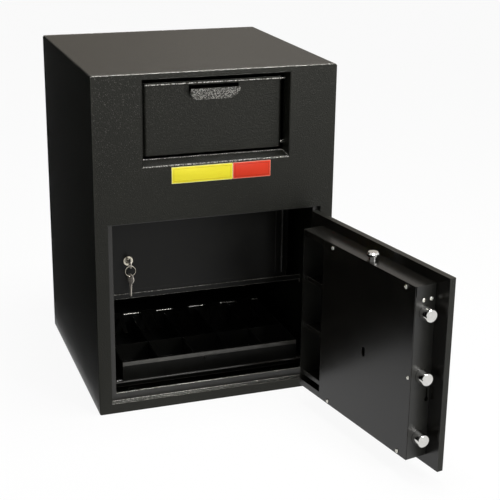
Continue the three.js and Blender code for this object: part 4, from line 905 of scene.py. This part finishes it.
def make_key(name, bow_place, across, along, reach, hole_turn):
    """The outline cut from KEY_SHEET, with the bow's middle at bow_place."""
    key = cut_sheet(key_outline(reach, hole_turn), KEY_SHEET, KEY_BEVEL, bow_place, across, along)
    body = body_of_node[name]
    return add_piece(name + "_cut", [key], finishes["worn_nickel"], body, (name,))


low, high = in_mm(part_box("key_in_lock"))
key_x = (low[0] + high[0]) / 2
lock_z = (low[2] + high[2]) / 2
make_key(
    "key_in_lock", (key_x, low[1] + KEY_BOW, lock_z), (0, 0, 1), (0, 1, 0),
    high[1] - low[1] - KEY_BOW, KEY_TURN,
)
low, high = in_mm(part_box("spare_key"))
make_key(
    "spare_key", (key_x, (low[1] + high[1]) / 2, high[2] - KEY_BOW),
    (-math.sin(KEY_TWIST), math.cos(KEY_TWIST), 0), (0, 0, -1), high[2] - low[2] - KEY_BOW, 0.0,
)

# %% [markdown]
# ## Split ring
#
# The ring is springy wire wound twice round, so that a key can be worked on
# between its turns. It is a small round section carried along a spiral.
#
# %% Split ring
RING_WIRE = 0.75
RING_STEPS = 120
RING_AROUND = 10
RING_TAPER = 1 / 60  # the share of the wire's length that is drawn to a point at each end
RING_SNUG = 0.92


def make_split_ring():
    """A round section carried twice round: the angle runs to 4 pi while the wire steps along Y."""
    low, high = in_mm(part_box("key_ring"))
    centre = (low + high) / 2
    wire_y = (high[1] - low[1]) / 4
    middle_radius = (high[2] - low[2]) / 2 - RING_WIRE
    turn_share = np.linspace(0, 1, RING_STEPS)[:, None]
    wind = turn_share * 4 * np.pi
    section = np.linspace(0, 2 * np.pi, RING_AROUND, endpoint=False)
    taper = np.clip(np.minimum(turn_share, 1 - turn_share) / RING_TAPER, 0, 1) ** 0.5
    radius = middle_radius + taper * RING_WIRE * np.cos(section)
    y = centre[1] + (turn_share - 0.5) * 2 * wire_y + taper * RING_SNUG * wire_y * np.sin(section)
    points = np.stack([centre[0] + radius * np.sin(wind), y, centre[2] + radius * np.cos(wind)], -1)
    ring = (points.reshape(-1, 3), quads(RING_STEPS, RING_AROUND, close_columns=True))
    return add_piece(
        "key_ring_wound", [ring], finishes["nickel_plate"], "key_ring", ("key_ring",),
    )


make_split_ring()

# %% [markdown]
# ## Handle
#
# On the outside of the door a lever handle turns the bolt work. It was cast,
# polished and chromed: a round rose with a waist, and a lever that swells at its
# hub and again towards its tip.
#
# %% Handle
ROSE_FLANGE = 5.0
ROSE_NECK = 15.0
LEVER_DEPTH = 12.0
LEVER_HUB_HALF = 14.0
LEVER_WAIST_HALF = 7.0
LEVER_TIP_HALF = 8.5
LEVER_FULL_DEPTH_FROM = 4.0
LEVER_SQUARENESS = 3.2
HANDLE_SHAFT = 7.0
HANDLE_SEAT = 0.3
HANDLE_SOFTENING = 1.2


def lever(place, length, steps=60, around=32):
    """Sections |x/w|^n + |y/d|^n = 1 along -Z, where w swells at the hub and at the tip."""
    s = np.linspace(-LEVER_HUB_HALF, length, steps)[:, None]
    hub = LEVER_HUB_HALF * np.sqrt(np.clip(1 - (s / LEVER_HUB_HALF) ** 2, 0, 1))
    share = np.clip(s / length, 0, 1)
    arm = LEVER_WAIST_HALF + (LEVER_TIP_HALF - LEVER_WAIST_HALF) * share ** 2
    to_tip = np.clip((length - s) / LEVER_TIP_HALF, 0, 1)
    arm = arm * np.sqrt(np.clip(1 - (1 - to_tip) ** 2, 0, 1)) * (s > 0)
    half_width = np.maximum(hub, arm)
    half_depth = LEVER_DEPTH / 2 * np.minimum(1, (half_width / LEVER_FULL_DEPTH_FROM) ** 0.5)
    angle = np.linspace(0, 2 * np.pi, around, endpoint=False)
    power = 2 / LEVER_SQUARENESS
    x = half_width * np.sign(np.cos(angle)) * np.abs(np.cos(angle)) ** power
    y = half_depth * np.sign(np.sin(angle)) * np.abs(np.sin(angle)) ** power
    points = np.stack([place[0] + x, place[1] + y, place[2] - s * np.ones(around)], -1)
    return points.reshape(-1, 3), quads(steps, around, close_columns=True)


def make_handle():
    """A turned rose with a waist, and the lever in front of it."""
    low, high = shut_box("handle")
    radius = (high[0] - low[0]) / 2
    axis_place = np.array([(low[0] + high[0]) / 2, high[1], high[2] - radius])
    shaft = high[1] - door_outer_face() + HANDLE_SEAT
    front = axis_place[1] - low[1]
    profile = soften([
        (0, 0), (HANDLE_SHAFT, 0), (HANDLE_SHAFT, shaft),
        (radius, shaft), (radius, shaft + ROSE_FLANGE),
        (ROSE_NECK, shaft + 2 * ROSE_FLANGE), (ROSE_NECK, front - LEVER_DEPTH / 2),
        (0, front - LEVER_DEPTH / 2),
    ], HANDLE_SOFTENING)
    rose = turned(profile, axis_place, (0, -1, 0), steps=64)
    arm = lever((axis_place[0], low[1] + LEVER_DEPTH / 2, axis_place[2]), axis_place[2] - low[2])
    return add_piece(
        "handle_cast", [opened(rose), opened(arm)], finishes["chromed_steel"], "handle",
        ("handle",),
    )


make_handle()

# %% [markdown]
# ## Combination dial
#
# The dial is moulded in glossy black: a skirt for the marks, and a fluted knob
# with a shallow dish in its face. It is one profile turned on a lathe, and the
# flutes are a ripple in the radius where the profile is on the knob.
#
# %% Combination dial
DIAL_SKIRT = 7.0
DIAL_KNOB_HALF = 21.0
DIAL_FLUTES = 28
DIAL_SEAT = 0.6
DIAL_SPINDLE = 4.0
DIAL_RIM = 1.5
DIAL_SOFTENING = 0.8
KNOB_SPREAD = 3.0
KNOB_FOOT = 5.0
KNOB_EDGE = 3.0
KNOB_DISH_IN = 9.0
KNOB_DISH = 0.8
FLUTE_DEPTH = 0.03
FLUTES_ABOVE_SKIRT = 3.0
FLUTES_WITHIN = 2.0


def make_dial():
    """A skirt, a flat band for the figures, and a knob whose radius ripples with the angle's cosine."""
    low, high = shut_box("dial")
    radius = (high[0] - low[0]) / 2
    centre = (low + high) / 2
    centre[1] = door_outer_face() - DIAL_SEAT
    depth = centre[1] - low[1]
    back = -(high[1] - centre[1])
    body = soften([
        (0, back), (DIAL_SPINDLE, back), (DIAL_SPINDLE, 0),
        (radius, 0), (radius, DIAL_SKIRT - DIAL_RIM), (radius - DIAL_RIM, DIAL_SKIRT),
        (DIAL_KNOB_HALF + KNOB_SPREAD, DIAL_SKIRT), (DIAL_KNOB_HALF, DIAL_SKIRT + KNOB_FOOT),
        (DIAL_KNOB_HALF, depth - KNOB_EDGE), (DIAL_KNOB_HALF - KNOB_EDGE, depth),
        (DIAL_KNOB_HALF - KNOB_DISH_IN, depth - KNOB_DISH), (0, depth - KNOB_DISH),
    ], DIAL_SOFTENING)
    steps = DIAL_FLUTES * 6
    angle = np.linspace(0, 2 * np.pi, steps, endpoint=False)
    high_enough = body[:, 1:] > DIAL_SKIRT + FLUTES_ABOVE_SKIRT
    on_knob = high_enough & (body[:, :1] > DIAL_KNOB_HALF - FLUTES_WITHIN)
    ripple = 1 - FLUTE_DEPTH * on_knob * (0.5 + 0.5 * np.cos(DIAL_FLUTES * angle)) ** 2
    dial = turned(body, centre, (0, -1, 0), steps, ripple=ripple)
    add_piece(
        "dial_moulded", [opened(dial)], finishes["dial_plastic"], "dial", ("dial",),
    )
    return centre, radius


dial_centre, dial_radius = make_dial()

# %% [markdown]
# ## Graduations and numbers
#
# The marks were moulded a little proud and wiped with white paint. Each is a
# thin bar, longer at fives and tens, and every ten has its number. They all
# start flat at the origin, and one function moves them out and round to their
# place, so that a number stands upright when its mark is at the top.
#
# %% Graduations and numbers
DIAL_FIGURE = 6.0
MARK_RAISE = 0.25
MARK_INSET = 2.0
FIGURE_INSET = 8.0
UNIT_MARK = (0.34, 1.7)
FIVE_MARK = (0.34, 2.6)
TEN_MARK = (0.5, 3.2)


def make_white_paint():
    """The wiped-in white paint of the figures, faintly uneven."""
    material, tree, shader, place = new_finish("wiped_white_paint")
    tone = add(tree, "ShaderNodeTexNoise", [("Vector", place)], Scale=per_metre(3.0)).outputs["Fac"]
    colour = add(
        tree, "ShaderNodeValToRGB", [("Fac", tone)], stops=[(0.3, "#dcdcd6"), (0.7, "#ecece8")],
    )
    rough = add(tree, "ShaderNodeMapRange", [("Value", tone), ("To Min", 0.45), ("To Max", 0.6)])
    feed(tree, shader, Base_Color=colour.outputs["Color"], Roughness=rough.outputs["Result"])
    return material


def text_outline(words, size, thickness):
    """The points and faces of a word set in the plain built-in letter, centred on the origin."""
    curve = bpy.data.curves.new("figure", "FONT")
    curve.body = words
    curve.size = size
    curve.extrude = thickness / 2
    curve.align_x = "CENTER"
    curve.align_y = "CENTER"
    return skin_of("figure", curve)


def on_dial(points, centre, turn_angle, out):
    """Moves flat marks (a, b, thickness) out to a radius and round by an angle, seen from outside."""
    a, b = points[:, 0], points[:, 1] + out
    x = a * math.cos(turn_angle) + b * math.sin(turn_angle)
    z = b * math.cos(turn_angle) - a * math.sin(turn_angle)
    y = -DIAL_SKIRT - points[:, 2]
    return turn_about_hinge(centre + np.stack([x, y, z], 1), DOOR_OPEN)


def make_dial_marks(centre, radius):
    """A thin bar for each of a hundred graduations, and a number at each ten."""
    marks = []
    unit = np.array([(i, j, k) for i in (-0.5, 0.5) for j in (-1, 0) for k in (-0.5, 0.5)])
    box_faces = [(0, 1, 3, 2), (4, 6, 7, 5), (0, 4, 5, 1), (2, 3, 7, 6), (0, 2, 6, 4), (1, 5, 7, 3)]
    for mark in range(100):
        width, length = TEN_MARK if mark % 10 == 0 else FIVE_MARK if mark % 5 == 0 else UNIT_MARK
        bar = unit * (width, length, 2 * MARK_RAISE)
        marks.append((on_dial(bar, centre, mark / 100 * 2 * np.pi, radius - MARK_INSET), box_faces))
    for figure in range(0, 100, 10):
        points, faces = text_outline(str(figure), DIAL_FIGURE, 2 * MARK_RAISE)
        place = on_dial(points, centre, figure / 100 * 2 * np.pi, radius - FIGURE_INSET)
        marks.append((place, faces))
    return add_piece("dial_figures", marks, make_white_paint(), "dial")


make_dial_marks(dial_centre, dial_radius)

# %% [markdown]
# ## Dial ring and index
#
# A chromed ring stands round the dial, fixed to the door. Its front slopes in
# towards the dial, and a small black pointer at the top marks where a number
# is read.
#
# %% Dial ring and index
DIAL_RING_WIDTH = 9.4
DIAL_RING_SLOPE = 4.0
DIAL_RING_LIP = 1.0
INDEX_HALF = 2.2
INDEX_FROM_OUTER = 2.6
INDEX_FROM_INNER = 1.6
INDEX_SHEET = 0.6
INDEX_BEVEL = 0.1


def make_dial_ring(centre):
    """A ring profile that closes on itself, turned about the dial's axis, and a pointer at the top."""
    low, high = shut_box("dial_ring")
    outer = (high[0] - low[0]) / 2
    inner = outer - DIAL_RING_WIDTH
    depth = high[1] - low[1]
    profile = soften([
        (inner, 0), (outer, 0), (outer, depth - DIAL_RING_SLOPE), (outer - DIAL_RING_SLOPE, depth),
        (inner + DIAL_RING_LIP, depth), (inner, depth - DIAL_RING_LIP), (inner, 0),
    ], DIAL_SOFTENING)
    place = (centre[0], high[1], centre[2])
    ring = turned(profile, place, (0, -1, 0), steps=96)
    add_piece(
        "dial_ring_turned", [opened(ring)], finishes["chromed_steel"], "door",
        ("dial_ring",),
    )
    pointer = np.array([
        (-INDEX_HALF, outer - INDEX_FROM_OUTER), (INDEX_HALF, outer - INDEX_FROM_OUTER),
        (0.0, inner + INDEX_FROM_INNER),
    ])
    index = cut_sheet(
        [pointer], INDEX_SHEET, INDEX_BEVEL, (centre[0], low[1] - INDEX_BEVEL, centre[2]),
        (1, 0, 0), (0, 0, 1),
    )
    add_piece("dial_index", [opened(index)], finishes["dial_plastic"], "door")


make_dial_ring(dial_centre)

# %% [markdown]
# ## Weld beads
#
# The hopper's recess is folded sheet, welded in its two lower corners and along the back of its sill. A
# weld bead is a tube whose radius swells and shrinks a little with each pass of the torch. It takes the
# paler coat, a painted highlight for the bright line that it catches.
#
# %% Weld beads
BEAD_RADIUS = 1.3
BEAD_RIPPLE_MM = 3.0
BEAD_SWELL = 0.12
BEAD_POINT = 2.0


def weld_bead(start, end):
    """A tube whose radius is 1 + BEAD_SWELL sin(distance), drawn to a point at both ends."""
    start, end = np.asarray(start, float), np.asarray(end, float)
    way = end - start
    length = np.linalg.norm(way)
    rows = int(length / (BEAD_RIPPLE_MM / 4))
    distance = np.linspace(0, length, rows)
    taper = np.clip(np.minimum(distance, length - distance) / BEAD_POINT, 0, 1) ** 0.5
    radius = BEAD_RADIUS * (1 + BEAD_SWELL * np.sin(2 * np.pi * distance / BEAD_RIPPLE_MM)) * taper
    return turned(np.stack([radius, distance], 1), start, way / length, steps=10)


RECESS_EDGE = 11.5
RECESS_DEPTH = 28.0
SILL_RISE = 7.0
JAMB_TAPER = 3.6
low, high = in_mm(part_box("hopper_surround"))
bead_ends = []
for side, jamb in ((1, low[0] + RECESS_EDGE), (-1, high[0] - RECESS_EDGE)):
    front_corner = (jamb, low[1] + 1, low[2] + RECESS_EDGE)
    back_corner = (jamb + side * JAMB_TAPER, low[1] + RECESS_DEPTH, low[2] + RECESS_EDGE + SILL_RISE)
    bead_ends.append((front_corner, back_corner))
beads = [weld_bead(*ends) for ends in bead_ends] + [weld_bead(bead_ends[0][1], bead_ends[1][1])]
add_piece("recess_welds", beads, finishes["coat_with_painted_highlight"], "body")

# %% [markdown]
# ## The hopper's rolled edge
#
# The top edge of the hopper's face is rolled over so that it doesn't cut. It is a thin bar with softened
# ends, half sunk in the face, in the paler coat of a painted highlight.
#
# %% Rolled edge
ROLL_RADIUS = 1.2
ROLL_END = 1.0
ROLL_INWARD = 0.6  # how far its middle lies behind the face's front, in radii
ROLL_BELOW = 0.8  # how far its middle lies under the face's top, in radii
face_low, face_high = in_mm(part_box("hopper_face"))
roll_start = (
    face_low[0] + ROLL_END, face_low[1] + ROLL_INWARD * ROLL_RADIUS,
    face_high[2] - ROLL_BELOW * ROLL_RADIUS,
)
roll_length = face_high[0] - face_low[0] - 2 * ROLL_END
roll_profile = soften([(0, 0), (ROLL_RADIUS, 0), (ROLL_RADIUS, roll_length), (0, roll_length)], 1.0)
rolled_edge = turned(roll_profile, roll_start, (1, 0, 0), steps=20)
add_piece("hopper_rolled_edge", [rolled_edge], finishes["coat_edge_highlight"], "hopper")

# %% [markdown]
# ## Edges of the till and its shelf
#
# The till's front wall ends in a lip, and the shelf under the till has its front edge folded forward.
# Both are narrow strips with softened edges, and both are paler than their part, a painted highlight:
# the lip shows grey and the nosing shows as a thin bright line.
#
# %% Till lip and shelf nosing
LIP_HEIGHT = 9.0
TRAY_HEIGHT = 42.0
PULL_REACH = 4.0
LIP_THICK = 1.2
NOSING_HEIGHT = 3.4
NOSING_REACH = 7.5
NOSING_GAP = 0.4
NOSING_DROP = 0.6
STRIP_CORNER = 0.4
STRIP_BEVEL = 0.25  # as a share of the strip's thickness


def strip_along_x(x0, x1, y, z0, z1, thickness):
    """A sheet strip that faces the front, from x0 to x1 and from z0 to z1, around the plane at y."""
    outline = rounded_outline(0, x1 - x0, 0, z1 - z0, STRIP_CORNER)
    bevel = STRIP_BEVEL * thickness
    return cut_sheet([outline], thickness, bevel, (x0, y, z0), (1, 0, 0), (0, 0, 1))


tray_low, tray_high = in_mm(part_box("till_tray"))
shelf_low, shelf_high = in_mm(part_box("till_shelf"))
wall_top = shelf_high[2] + TRAY_HEIGHT
lip = strip_along_x(
    tray_low[0], tray_high[0], tray_low[1] + PULL_REACH - LIP_THICK / 4,
    wall_top - LIP_HEIGHT, wall_top, LIP_THICK,
)
add_piece("till_lip", [lip], finishes["tray_edge_highlight"], "till")
nosing = strip_along_x(
    shelf_low[0], shelf_high[0], shelf_low[1] - NOSING_REACH / 2 - NOSING_GAP,
    shelf_high[2] - NOSING_DROP - NOSING_HEIGHT, shelf_high[2] - NOSING_DROP, NOSING_REACH,
)
add_piece("shelf_nosing", [nosing], finishes["paint_edge_highlight"], "body")

# %% [markdown]
# ## Stickers
#
# Two blank vinyl stickers sit side by side under the hopper, one yellow and
# one red, each with a thin paler rim and a thin darker line inside it. The
# print is drawn by how far a point lies from the sticker's edge.
#
# %% Printed vinyl
STICKER_RIM = 0.0012
STICKER_LINE_AT = 0.0042
STICKER_LINE = 0.0006


def make_vinyl(name, x0, x1, z0, z1, field, rim, line):
    """Printed vinyl: the colour depends on the distance to the nearest edge of the sticker."""
    material, tree, shader, place = new_finish(name, Specular_IOR_Level=0.25)
    split = add(tree, "ShaderNodeSeparateXYZ", [("Vector", place)])
    distances = []
    for axis, low, high in (("X", x0, x1), ("Z", z0, z1)):
        centre, half = (low + high) / 2, (high - low) / 2
        offset = add(
            tree, "ShaderNodeMath", [(0, split.outputs[axis]), (1, centre)], operation="SUBTRACT",
        )
        size = add(tree, "ShaderNodeMath", [(0, offset.outputs[0])], operation="ABSOLUTE")
        inside = add(tree, "ShaderNodeMath", [(0, half), (1, size.outputs[0])], operation="SUBTRACT")
        distances.append(inside.outputs[0])
    nearest = add(
        tree, "ShaderNodeMath", [(0, distances[0]), (1, distances[1])], operation="MINIMUM",
    )
    half_z = (z1 - z0) / 2
    share = add(tree, "ShaderNodeMath", [(0, nearest.outputs[0]), (1, half_z)], operation="DIVIDE")
    line_end = STICKER_LINE_AT + STICKER_LINE
    printed = add(tree, "ShaderNodeValToRGB", [("Fac", share.outputs[0])], stops=[
        (0.0, rim), (STICKER_RIM / half_z, field), (STICKER_LINE_AT / half_z, line),
        (line_end / half_z, field),
    ])
    printed.color_ramp.interpolation = "CONSTANT"
    wrinkle = add(tree, "ShaderNodeTexNoise", [("Vector", place)], Scale=per_metre(7.0)).outputs["Fac"]
    rough = add(tree, "ShaderNodeMapRange", [("Value", wrinkle), ("To Min", 0.42), ("To Max", 0.52)])
    relief = add(tree, "ShaderNodeBump", [("Height", wrinkle)], Strength=0.3, Distance=0.05 * MM)
    feed(
        tree, shader, Base_Color=printed.outputs["Color"], Roughness=rough.outputs["Result"],
        Normal=relief.outputs["Normal"],
    )
    return material


print("the printed line starts", STICKER_LINE_AT / MM, "mm from the edge")

# %% [markdown]
# ## Sticker slabs
#
# A sticker is a thin slab with rounded corners and a tiny bevel, pressed on
# the front panel.
#
# %% Stickers
STICKER_LOW = 0.487
STICKER_HIGH = 0.521
STICKER_THICK = 0.0003
STICKER_CORNER = 0.0008
STICKER_BEVEL = 0.0002
STICKER_WALL = 0.6  # the share of the thickness that stands square, under the bevel
YELLOW_SPAN = (-0.0955, 0.0322)
RED_SPAN = (0.0328, 0.1135)


def make_sticker(name, x0, x1, colours):
    """A slab whose outline is carried from the panel's face to the sticker's slightly smaller front."""
    face_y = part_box("front_panel")[0].y
    outline = rounded_outline(x0, x1, STICKER_LOW, STICKER_HIGH, STICKER_CORNER)
    middle = outline.mean(0)
    inner = middle + (outline - middle) * (1 - STICKER_BEVEL / np.abs(outline - middle).max(0))
    count = len(outline)
    rings = [
        np.stack([ring[:, 0], np.full(count, face_y - rise * STICKER_THICK), ring[:, 1]], 1)
        for ring, rise in ((outline, 0), (outline, STICKER_WALL), (inner, 1))
    ]
    vertices = np.concatenate(rings)
    here = np.arange(count)
    ahead = np.roll(here, -1)
    faces = [
        face for low in (0, count)
        for face in np.stack([here + low, here + low + count, ahead + low + count, ahead + low], 1)
    ]
    faces += [here, (here + 2 * count)[::-1]]
    material = make_vinyl(name + "_vinyl", x0, x1, STICKER_LOW, STICKER_HIGH, *colours)
    return add_piece(name, [(vertices / MM, faces)], material, "body")


yellow = make_sticker("yellow_sticker", *YELLOW_SPAN, ("#f4e62c", "#fbf59a", "#c9b620"))
red = make_sticker("red_sticker", *RED_SPAN, ("#dc3410", "#f0907c", "#a82713"))
print("stickers:", yellow.name, red.name)

# %% [markdown]
# ## Studio pieces
#
# What surrounds the safe is plain and even. A light path tells a shader which
# kind of ray asks for its colour, so a surface can look one way to the camera
# and in reflections, and light its neighbours in another.
#
# %% Studio helpers
SQUARE_FACE = [(0, 1, 2, 3)]
WHITE = linear("#ffffff")


def make_studio_paint(name, blob_mm, dark, light, **settings):
    """A studio surface: two near tones in wide, soft patches."""
    material, tree, shader, place = new_finish(name, **settings)
    tone = add(tree, "ShaderNodeTexNoise", [("Vector", place)], Scale=per_metre(blob_mm))
    colour = add(
        tree, "ShaderNodeValToRGB", [("Fac", tone.outputs["Fac"])], stops=[(0.0, dark), (1.0, light)],
    )
    feed(tree, shader, Base_Color=colour.outputs["Color"])
    return material, tree, shader


def seen_directly(tree, *kinds):
    """1 where a ray is of one of the kinds, otherwise 0: the greatest of their answers."""
    path = add(tree, "ShaderNodeLightPath")
    seen = path.outputs[kinds[0]]
    for kind in kinds[1:]:
        either = add(tree, "ShaderNodeMath", [(0, seen), (1, path.outputs[kind])], operation="MAXIMUM")
        seen = either.outputs[0]
    return seen


def studio_piece(name, points, faces, material, reflected_only=False):
    """A piece of the studio, which may be left out of everything but reflections."""
    mesh = bpy.data.meshes.new(name)
    mesh.from_pydata(points, [], faces)
    mesh.materials.append(material)
    piece = put_in_scene(name, mesh)
    if reflected_only:
        piece.visible_camera = False
        piece.visible_shadow = False
        piece.visible_diffuse = False
    print("studio:", name)
    return piece


def flat_square(half, z):
    """The corners of a level square around the origin."""
    return [(x, y, z) for x, y in half * np.array([(-1, -1), (1, -1), (1, 1), (-1, 1)])]


print("white in linear light:", WHITE)

# %% [markdown]
# ## Studio floor
#
# The safe stands on a pale floor. The floor is made to show nearly white to the camera and in
# reflections, whatever light falls on it, and the rest of its shader keeps the shadow. A dark square of
# painted shade under the base is what shows through the anchor holes.
#
# %% Studio floor
FLOOR_HALF = 14.0
FLOOR_WHITE_SHARE = 0.93
FLOOR_Z = -0.0006
FOOTPRINT_HALF = 0.254
SHADE_INSET = 0.02


def make_floor():
    """One wide square just under the base."""
    material, tree, shader = make_studio_paint(
        "pale_studio_floor", 900.0, "#f6f6f5", "#fbfbfa", Roughness=0.9,
    )
    seen = seen_directly(tree, "Is Camera Ray", "Is Glossy Ray")
    white_share = add(
        tree, "ShaderNodeMath", [(0, seen), (1, FLOOR_WHITE_SHARE)], operation="MULTIPLY",
    )
    white = add(tree, "ShaderNodeEmission", Color=WHITE, Strength=1.0)
    mixed = add(
        tree, "ShaderNodeMixShader",
        [(0, white_share.outputs[0]), (1, shader.outputs[0]), (2, white.outputs[0])],
    )
    tree.links.new(mixed.outputs[0], tree.nodes["Material Output"].inputs["Surface"])
    floor = studio_piece("studio_floor", flat_square(FLOOR_HALF, FLOOR_Z), SQUARE_FACE, material)


def make_shade_under_base():
    """A dark square between the floor and the base, a little smaller than the base."""
    # The square's dark colour is painted shade.
    material = make_studio_paint("shaded_floor", 80.0, "#0c0c0b", "#121211", Roughness=0.9)[0]
    corners = flat_square(FOOTPRINT_HALF - SHADE_INSET, FLOOR_Z / 2)
    shade = studio_piece("shade_under_base", corners, SQUARE_FACE, material)


make_floor()
make_shade_under_base()

# %% [markdown]
# ## White surround
#
# The surround is white to the camera, in reflections and through glass, and
# gives the object only a little light, so that the lamps decide how bright
# each side is.
#
# %% White surround
DIM_WORLD = 0.3


def make_world():
    """White where it is seen directly, and dim for the light that falls on surfaces."""
    world = bpy.data.worlds.new("studio")
    bpy.context.scene.world = world
    world.use_nodes = True
    tree = world.node_tree
    tree.nodes.clear()
    seen = seen_directly(tree, "Is Camera Ray", "Is Glossy Ray", "Is Transmission Ray")
    dim = add(tree, "ShaderNodeBackground", Color=WHITE, Strength=DIM_WORLD)
    white = add(tree, "ShaderNodeBackground", Color=WHITE, Strength=1.0)
    mixed = add(
        tree, "ShaderNodeMixShader", [(0, seen), (1, dim.outputs[0]), (2, white.outputs[0])],
    )
    add(tree, "ShaderNodeOutputWorld", [("Surface", mixed.outputs[0])])
    print("world:", world.name)


make_world()

# %% [markdown]
# ## Cloth and card for the reflections
#
# Black paint shows mostly what it reflects. A black cloth beside the left side
# keeps that side dark, and a warm grey wall far behind tones the top. Only
# reflections see them, so the picture's background stays white.
#
# %% Cloth and card
FLAG_LEFT = -3.6
FLAG_RIGHT = -0.262
FLAG_FRONT = -2.2
FLAG_BACK = 0.5
FLAG_TOP = 2.6
FLAG_BEND = 0.1
FLAG_LIFT = 0.001
CARD_LEFT = -0.2
CARD_RIGHT = 5.0
CARD_BACK = 3.2
CARD_TOP = 5.0


def make_black_flag():
    """Cloth laid beside the left side, bent by a quarter circle and drawn up behind it."""
    turn_up = np.linspace(0, np.pi / 2, 8)
    bend_y = FLAG_BACK - FLAG_BEND + FLAG_BEND * np.sin(turn_up)
    bend_z = FLAG_LIFT + FLAG_BEND * (1 - np.cos(turn_up))
    path = np.concatenate([
        [(FLAG_FRONT, FLAG_LIFT)], np.stack([bend_y, bend_z], 1), [(FLAG_BACK, FLAG_TOP)],
    ])
    points = np.stack([
        np.broadcast_to([FLAG_LEFT, FLAG_RIGHT], (len(path), 2)),
        np.broadcast_to(path[:, :1], (len(path), 2)),
        np.broadcast_to(path[:, 1:], (len(path), 2)),
    ], -1)
    material = make_studio_paint(
        "black_velvet", 50.0, "#030303", "#060606", Roughness=1.0, Specular_IOR_Level=0.0,
    )[0]
    corners, faces = points.reshape(-1, 3).tolist(), quads(len(path), 2).tolist()
    flag = studio_piece("black_flag", corners, faces, material, reflected_only=True)


def make_grey_card():
    """An upright rectangle that gives its own even light."""
    outline = [(CARD_LEFT, 0), (CARD_RIGHT, 0), (CARD_RIGHT, CARD_TOP), (CARD_LEFT, CARD_TOP)]
    corners = [(x, CARD_BACK, z) for x, z in outline]
    material, tree, shader, place = new_finish(
        "warm_grey_card", Base_Color=linear("#000000"), Emission_Strength=1.0,
    )
    tone = add(tree, "ShaderNodeTexNoise", [("Vector", place)], Scale=per_metre(900.0))
    grey = add(
        tree, "ShaderNodeValToRGB", [("Fac", tone.outputs["Fac"])],
        stops=[(0.2, "#938a7f"), (0.8, "#9b9287")],
    )
    feed(tree, shader, Emission_Color=grey.outputs["Color"])
    card = studio_piece("grey_card", corners, SQUARE_FACE, material, reflected_only=True)


make_black_flag()
make_grey_card()

# %% [markdown]
# ## Lamps
#
# Soft rectangular lamps stand above, in front and behind. A strip light above
# the front gives only reflections: the glints along edges and grains.
#
# %% Lamps


def make_lamp(name, place, aim, width, height, watts):
    """A rectangular lamp that points at a spot."""
    lamp = put_in_scene(name, bpy.data.lights.new(name, "AREA"))
    lamp.data.shape = "RECTANGLE"
    lamp.data.size = width
    lamp.data.size_y = height
    lamp.data.energy = watts
    lamp.location = place
    lamp.rotation_euler = (Vector(aim) - Vector(place)).to_track_quat("-Z", "Y").to_euler()
    print(name, watts, "W")
    return lamp


make_lamp("overhead_softbox", (0.15, -0.35, 2.3), (0.15, -0.3, 0), 0.8, 0.8, 36)
make_lamp("front_softbox", (1.3, -2.7, 1.6), (0, -0.2, 0.4), 0.6, 0.6, 30)
make_lamp("back_softbox", (1.3, 2.2, 1.9), (0, 0, 0.5), 1.6, 1.0, 2)
strip = make_lamp("edge_strip", (0.5, -0.9, 2.1), (0.1, -0.25, 0.5), 1.5, 0.25, 90)
strip.visible_diffuse = False

# %% [markdown]
# ## Finish
#
# The view transform shows colours as they are written.
#
# %% Finish
bpy.context.scene.view_settings.view_transform = "Standard"
